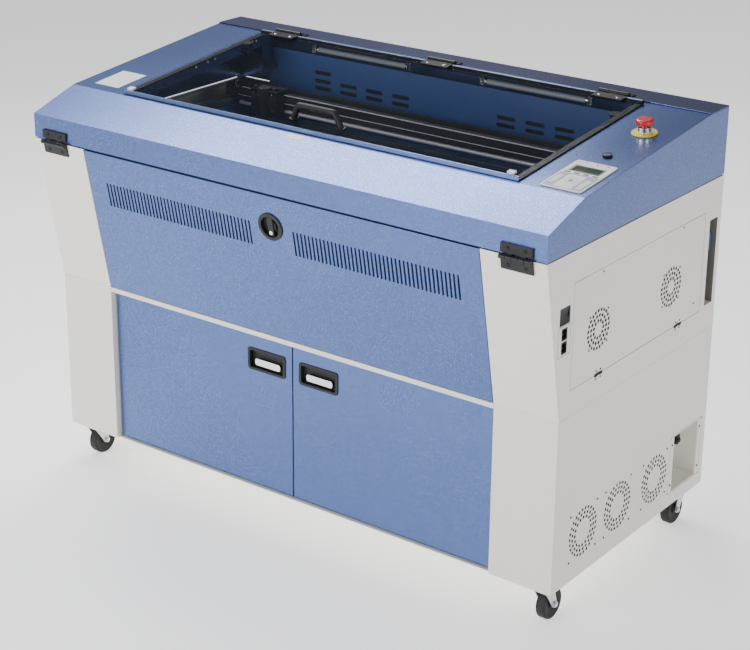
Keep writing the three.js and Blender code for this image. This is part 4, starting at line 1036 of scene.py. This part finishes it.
# Polished steel cap screws with ball heads hold the brackets of the struts. They hang under the
# lid's two sides.
balls = []
for x, s in ((-551, 298), (-551, 326), (-551, 254), (-551, 473), (-551, 486), (551, 469), (551, 312)):
    bpy.ops.object.select_all(action="DESELECT")
    bpy.ops.mesh.primitive_uv_sphere_add(segments=20, ring_count=12, radius=4.6, location=(x, s, -7))
    ball = bpy.context.object
    bpy.ops.object.transform_apply(location=True, rotation=True, scale=True)
    ball.data.transform(on_top)
    balls += [ball, rod((x, s, -7), (x, s, 2), 2.4, 0, 12, on_top)]
settle(joined(balls), "lid_bracket_balls", chrome, "lid")


# The bridge handle is a bent bar of black plastic on two round feet, screwed through the
# acrylic near its front edge.
grip_y, grip_n = 52, 9.2
bpy.ops.object.select_all(action="DESELECT")
bpy.ops.curve.primitive_nurbs_path_add(location=(0, 0, 0))
grip = bpy.context.object
path = grip.data.splines[0]
points = ((-68, 0), (-66, 6), (-60, 20), (-53, 34), (-47, 36.5), (-38, 36.5), (0, 36.5), (38, 36.5))
points += ((47, 36.5), (53, 34), (60, 20), (66, 6), (68, 0))
path.points.add(len(points) - len(path.points))
for point, (x, n) in zip(path.points, points):
    point.co = (x - 3, grip_y, grip_n + n, 1)
path.order_u = 3
path.use_endpoint_u = True
grip.data.resolution_u = 6
grip.data.bevel_depth = 7.4
grip.data.bevel_resolution = 5
grip.data.use_fill_caps = True
bpy.ops.object.convert(target="MESH")
grip = bpy.context.object
grip.data.transform(on_top)
feet = [rod((x - 3, grip_y, grip_n), (x - 3, grip_y, grip_n + 4), 11, 1.2, 32, on_top) for x in (-68, 68)]
stand_in(joined([grip] + feet), "lid_grip", moulded_black, "lid_handle")


# Two gas struts hold the lid up. Each is a black steel cylinder and a polished rod, and hangs
# between a stud on the hood and one on the lid.
for hand in ("left", "right"):
    dressed("strut_cylinder_" + hand, black_and_slot_shade, 0.5)
    dressed("strut_rod_" + hand, chrome, 0.4)


# Two black butt hinges join the hood to the front columns: rounded leaves with two screws each
# and five knuckles on one pin.
for hand, side in (("left", -1), ("right", 1)):
    for level in ("lower", "upper"):
        dressed("hood_hinge_" + level + "_" + hand, black_and_slot_shade, 0.9, 3)
    middle = side * (half - 32 - 38.5)
    leaf_y = lean_deep * (waist_z + lean_high - 760) / lean_high - 5.2
    down_front = (0, -math.cos(slant), -math.sin(slant))
    low_spots = [((middle + dx, leaf_y, 760), down_front) for dx in (-21, 21)]
    high_spots = [((middle + dx, -5.3, 798), FRONT) for dx in (-21, 21)]
    screws("hood_hinge_screws_lower_" + hand, black_and_slot_shade, "cabinet", low_spots, 4.2, 1.6)
    screws("hood_hinge_screws_upper_" + hand, black_and_slot_shade, "hood", high_spots, 4.2, 1.6)


# Two frosted work lamps hang under the rear edge of the opening. Each is a tube held in two
# chromed end sockets.
lamp_white = moulding(
    "frosted_lamp", (0.26, 0.28, 0.32), 0.3, Emission_Strength=0.02, Emission_Color=(0.8, 0.88, 1.0)
)
for hand in ("left", "right"):
    low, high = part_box("work_lamp_" + hand)
    x0, x1 = low.x / MM, high.x / MM
    lamp_y = ((low.y + high.y) / 2 - front) / MM
    lamp_z = (low.z - ground) / MM + 10
    glass = rod((x0 + 10, lamp_y, lamp_z), (x1 - 10, lamp_y, lamp_z), 6.4, 1.0, 28)
    stand_in(glass, "lamp_tube_" + hand, lamp_white, "work_lamp_" + hand)
    sockets = []
    for x, way in ((x0, 1), (x1, -1)):
        a, b = sorted((x, x + way * 13))
        sockets.append(slab((a, lamp_y - 8.5, lamp_z - 9.5), (b, lamp_y + 8.5, lamp_z + 18), 1.5, 3))
        sockets.append(rod((x + way * 12, lamp_y, lamp_z), (x + way * 18, lamp_y, lamp_z), 8.4, 0.8, 28))
    settle(joined(sockets), "lamp_sockets_" + hand, chrome, "hood", ("work_lamp_" + hand,))


# The control panel is a white moulded plate with a dark display, over a grey membrane with
# four function keys, two long keys and a round pad.
film_grey = moulding("grey_membrane", (0.36, 0.38, 0.40), 0.36)
film_pale = moulding("pale_key_film", (0.66, 0.70, 0.78), 0.34)
key_dark = moulding("dark_key_film", (0.10, 0.11, 0.13), 0.36)
display_green = moulding("display_window", (0.012, 0.035, 0.010), 0.10, Coat_Weight=0.6)
panel_x, top_n = 657.5, 3.3
plate = rounded_plate((panel_x - 49.5, 13, 0.3), (panel_x + 49.5, 166, top_n), 7, 2, 0.7, on_top)
carved(plate, [slab((panel_x - 37.5, 105, 1.3), (panel_x + 37.5, 140, 9), place=on_top)])
stand_in(plate, "control_plate", catch_white, "control_panel")


def key_film(x0, s0, x1, s1, rise, corner, edge, sunk=0):
    """One film on the plate, between two corners measured from the plate's middle line."""
    low, high = (panel_x + x0, s0, top_n - sunk), (panel_x + x1, s1, top_n + rise)
    return rounded_plate(low, high, corner, 2, edge, on_top)


membrane = key_film(-45.5, 17, 45.5, 94, 0.35, 5, 0.15, 0.3)
settle(membrane, "control_membrane", film_grey, "hood")
pad = key_film(-22, 19, 20, 88, 0.5, 6, 0.15)
settle(pad, "control_pad_ground", catch_white, "hood")
keys = [
    rod((panel_x - 1, 57, top_n), (panel_x - 1, 57, top_n + 0.9), 17, 0.3, 40, on_top),
    key_film(-42, 32, -27, 78, 0.9, 6.5, 0.3),
    key_film(27, 22, 42, 74, 0.9, 6.5, 0.3),
]
settle(joined(keys), "control_keys", film_pale, "hood")
dark_keys = [key_film(x - 6.5, 96, x + 6.5, 101, 0.7, 2, 0.2, 0.1) for x in (-33, -11, 11, 33)]
dark_keys += [
    rod((panel_x + x, 157, top_n - 0.1), (panel_x + x, 157, top_n + 0.6), 2.2, 0.3, 16, on_top)
    for x in (-22, 4, 30)
]
well_low, well_high = (panel_x - 37.2, 105.3, 1.6), (panel_x + 37.2, 139.7, 3.0)
dark_keys.append(rounded_plate(well_low, well_high, 1.5, 2, 0.3, on_top))
dark_keys += [rod((panel_x - 1, 57, top_n + 0.5), (panel_x - 1, 57, top_n + 1.2), 5, 0.2, 24, on_top)]
settle(joined(dark_keys), "control_dark_keys", key_dark, "hood")
glass = rounded_plate((panel_x - 32, 109, 2.6), (panel_x + 32, 136, 3.4), 1.2, 2, 0.3, on_top)
stand_in(glass, "control_display", display_green, "display_window")


# The key switch is a chromed lock barrel with a slot for the key. It sits in a black collar on
# the hood.
key_x, key_s = 650.5, 216
collar = rod((key_x, key_s, 0.3), (key_x, key_s, 6), 11, 1.4, 40, on_top)
carved(collar, [rod((key_x, key_s, 3.5), (key_x, key_s, 9), 7.2, sides=32, place=on_top)])
settle(collar, "key_collar", black_and_slot_shade, "key_lock", ("key_switch",))
barrel = rod((key_x, key_s, 1), (key_x, key_s, 5.4), 6.8, 0.8, 32, on_top)
carved(barrel, [slab((key_x - 0.9, key_s - 4.5, 3), (key_x + 0.9, key_s + 4.5, 9), place=on_top)])
stand_in(barrel, "key_barrel", chrome, "key_switch")


# The emergency stop is a red moulded mushroom on a ribbed chromed collar. The collar clamps a
# yellow ring to the hood.
stop_red = moulding("stop_button_red", (0.58, 0.016, 0.018), 0.24, Coat_Weight=0.3)
stop_yellow = moulding("stop_ring_yellow", (0.80, 0.60, 0.03), 0.36)
stop_x, stop_s = 652, 372
ring = rod((stop_x, stop_s, 0.3), (stop_x, stop_s, 3.2), 29, 1.0, 56, on_top)
stand_in(ring, "stop_ring", stop_yellow, "stop_collar")
post = rod((stop_x, stop_s, 3), (stop_x, stop_s, 16.2), 16.5, 1.0, 48, on_top)
for i in range(14):
    turn = 2 * math.pi * i / 14
    x, s = stop_x + 17 * math.cos(turn), stop_s + 17 * math.sin(turn)
    carved(post, [rod((x, s, 4.5), (x, s, 20), 1.9, sides=10, place=on_top)])
settle(post, "stop_post", chrome, "hood", ("stop_collar",))
dome = rod((stop_x, stop_s, 22.2), (stop_x, stop_s, 34.2), 20, 0, 48, Matrix())
pick(dome, "EDGE", lambda a, b: min(a.z, b.z) > 34)
bpy.ops.mesh.bevel(offset=5.5, segments=6, affect="EDGES")
done()
pick(dome, "EDGE", lambda a, b: max(a.z, b.z) < 22.3)
bpy.ops.mesh.bevel(offset=1.6, segments=3, affect="EDGES")
done()
dome.data.transform(on_top)
stem = rod((stop_x, stop_s, 12), (stop_x, stop_s, 23), 8, 0.5, 32, on_top)
stand_in(joined([dome, stem]), "stop_mushroom", stop_red, "stop_button")


# Two blank white films stand where the machine carries its labels: one high on the steep slope
# and one at the left of the top plane.
steep = math.atan2(44, 135)
on_steep = standing @ Matrix.Translation((0, 0, 841)) @ Matrix.Rotation(steep, 4, "X")
films = [
    rounded_plate((-40, 121, 0.05), (5, 139.5, 0.35), 2, 2, 0.1, on_steep),
    rounded_plate((-682, 31, 0.05), (-604, 132, 0.35), 3, 2, 0.1, on_top),
]
settle(joined(films), "blank_labels", catch_white, "hood")

low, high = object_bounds()
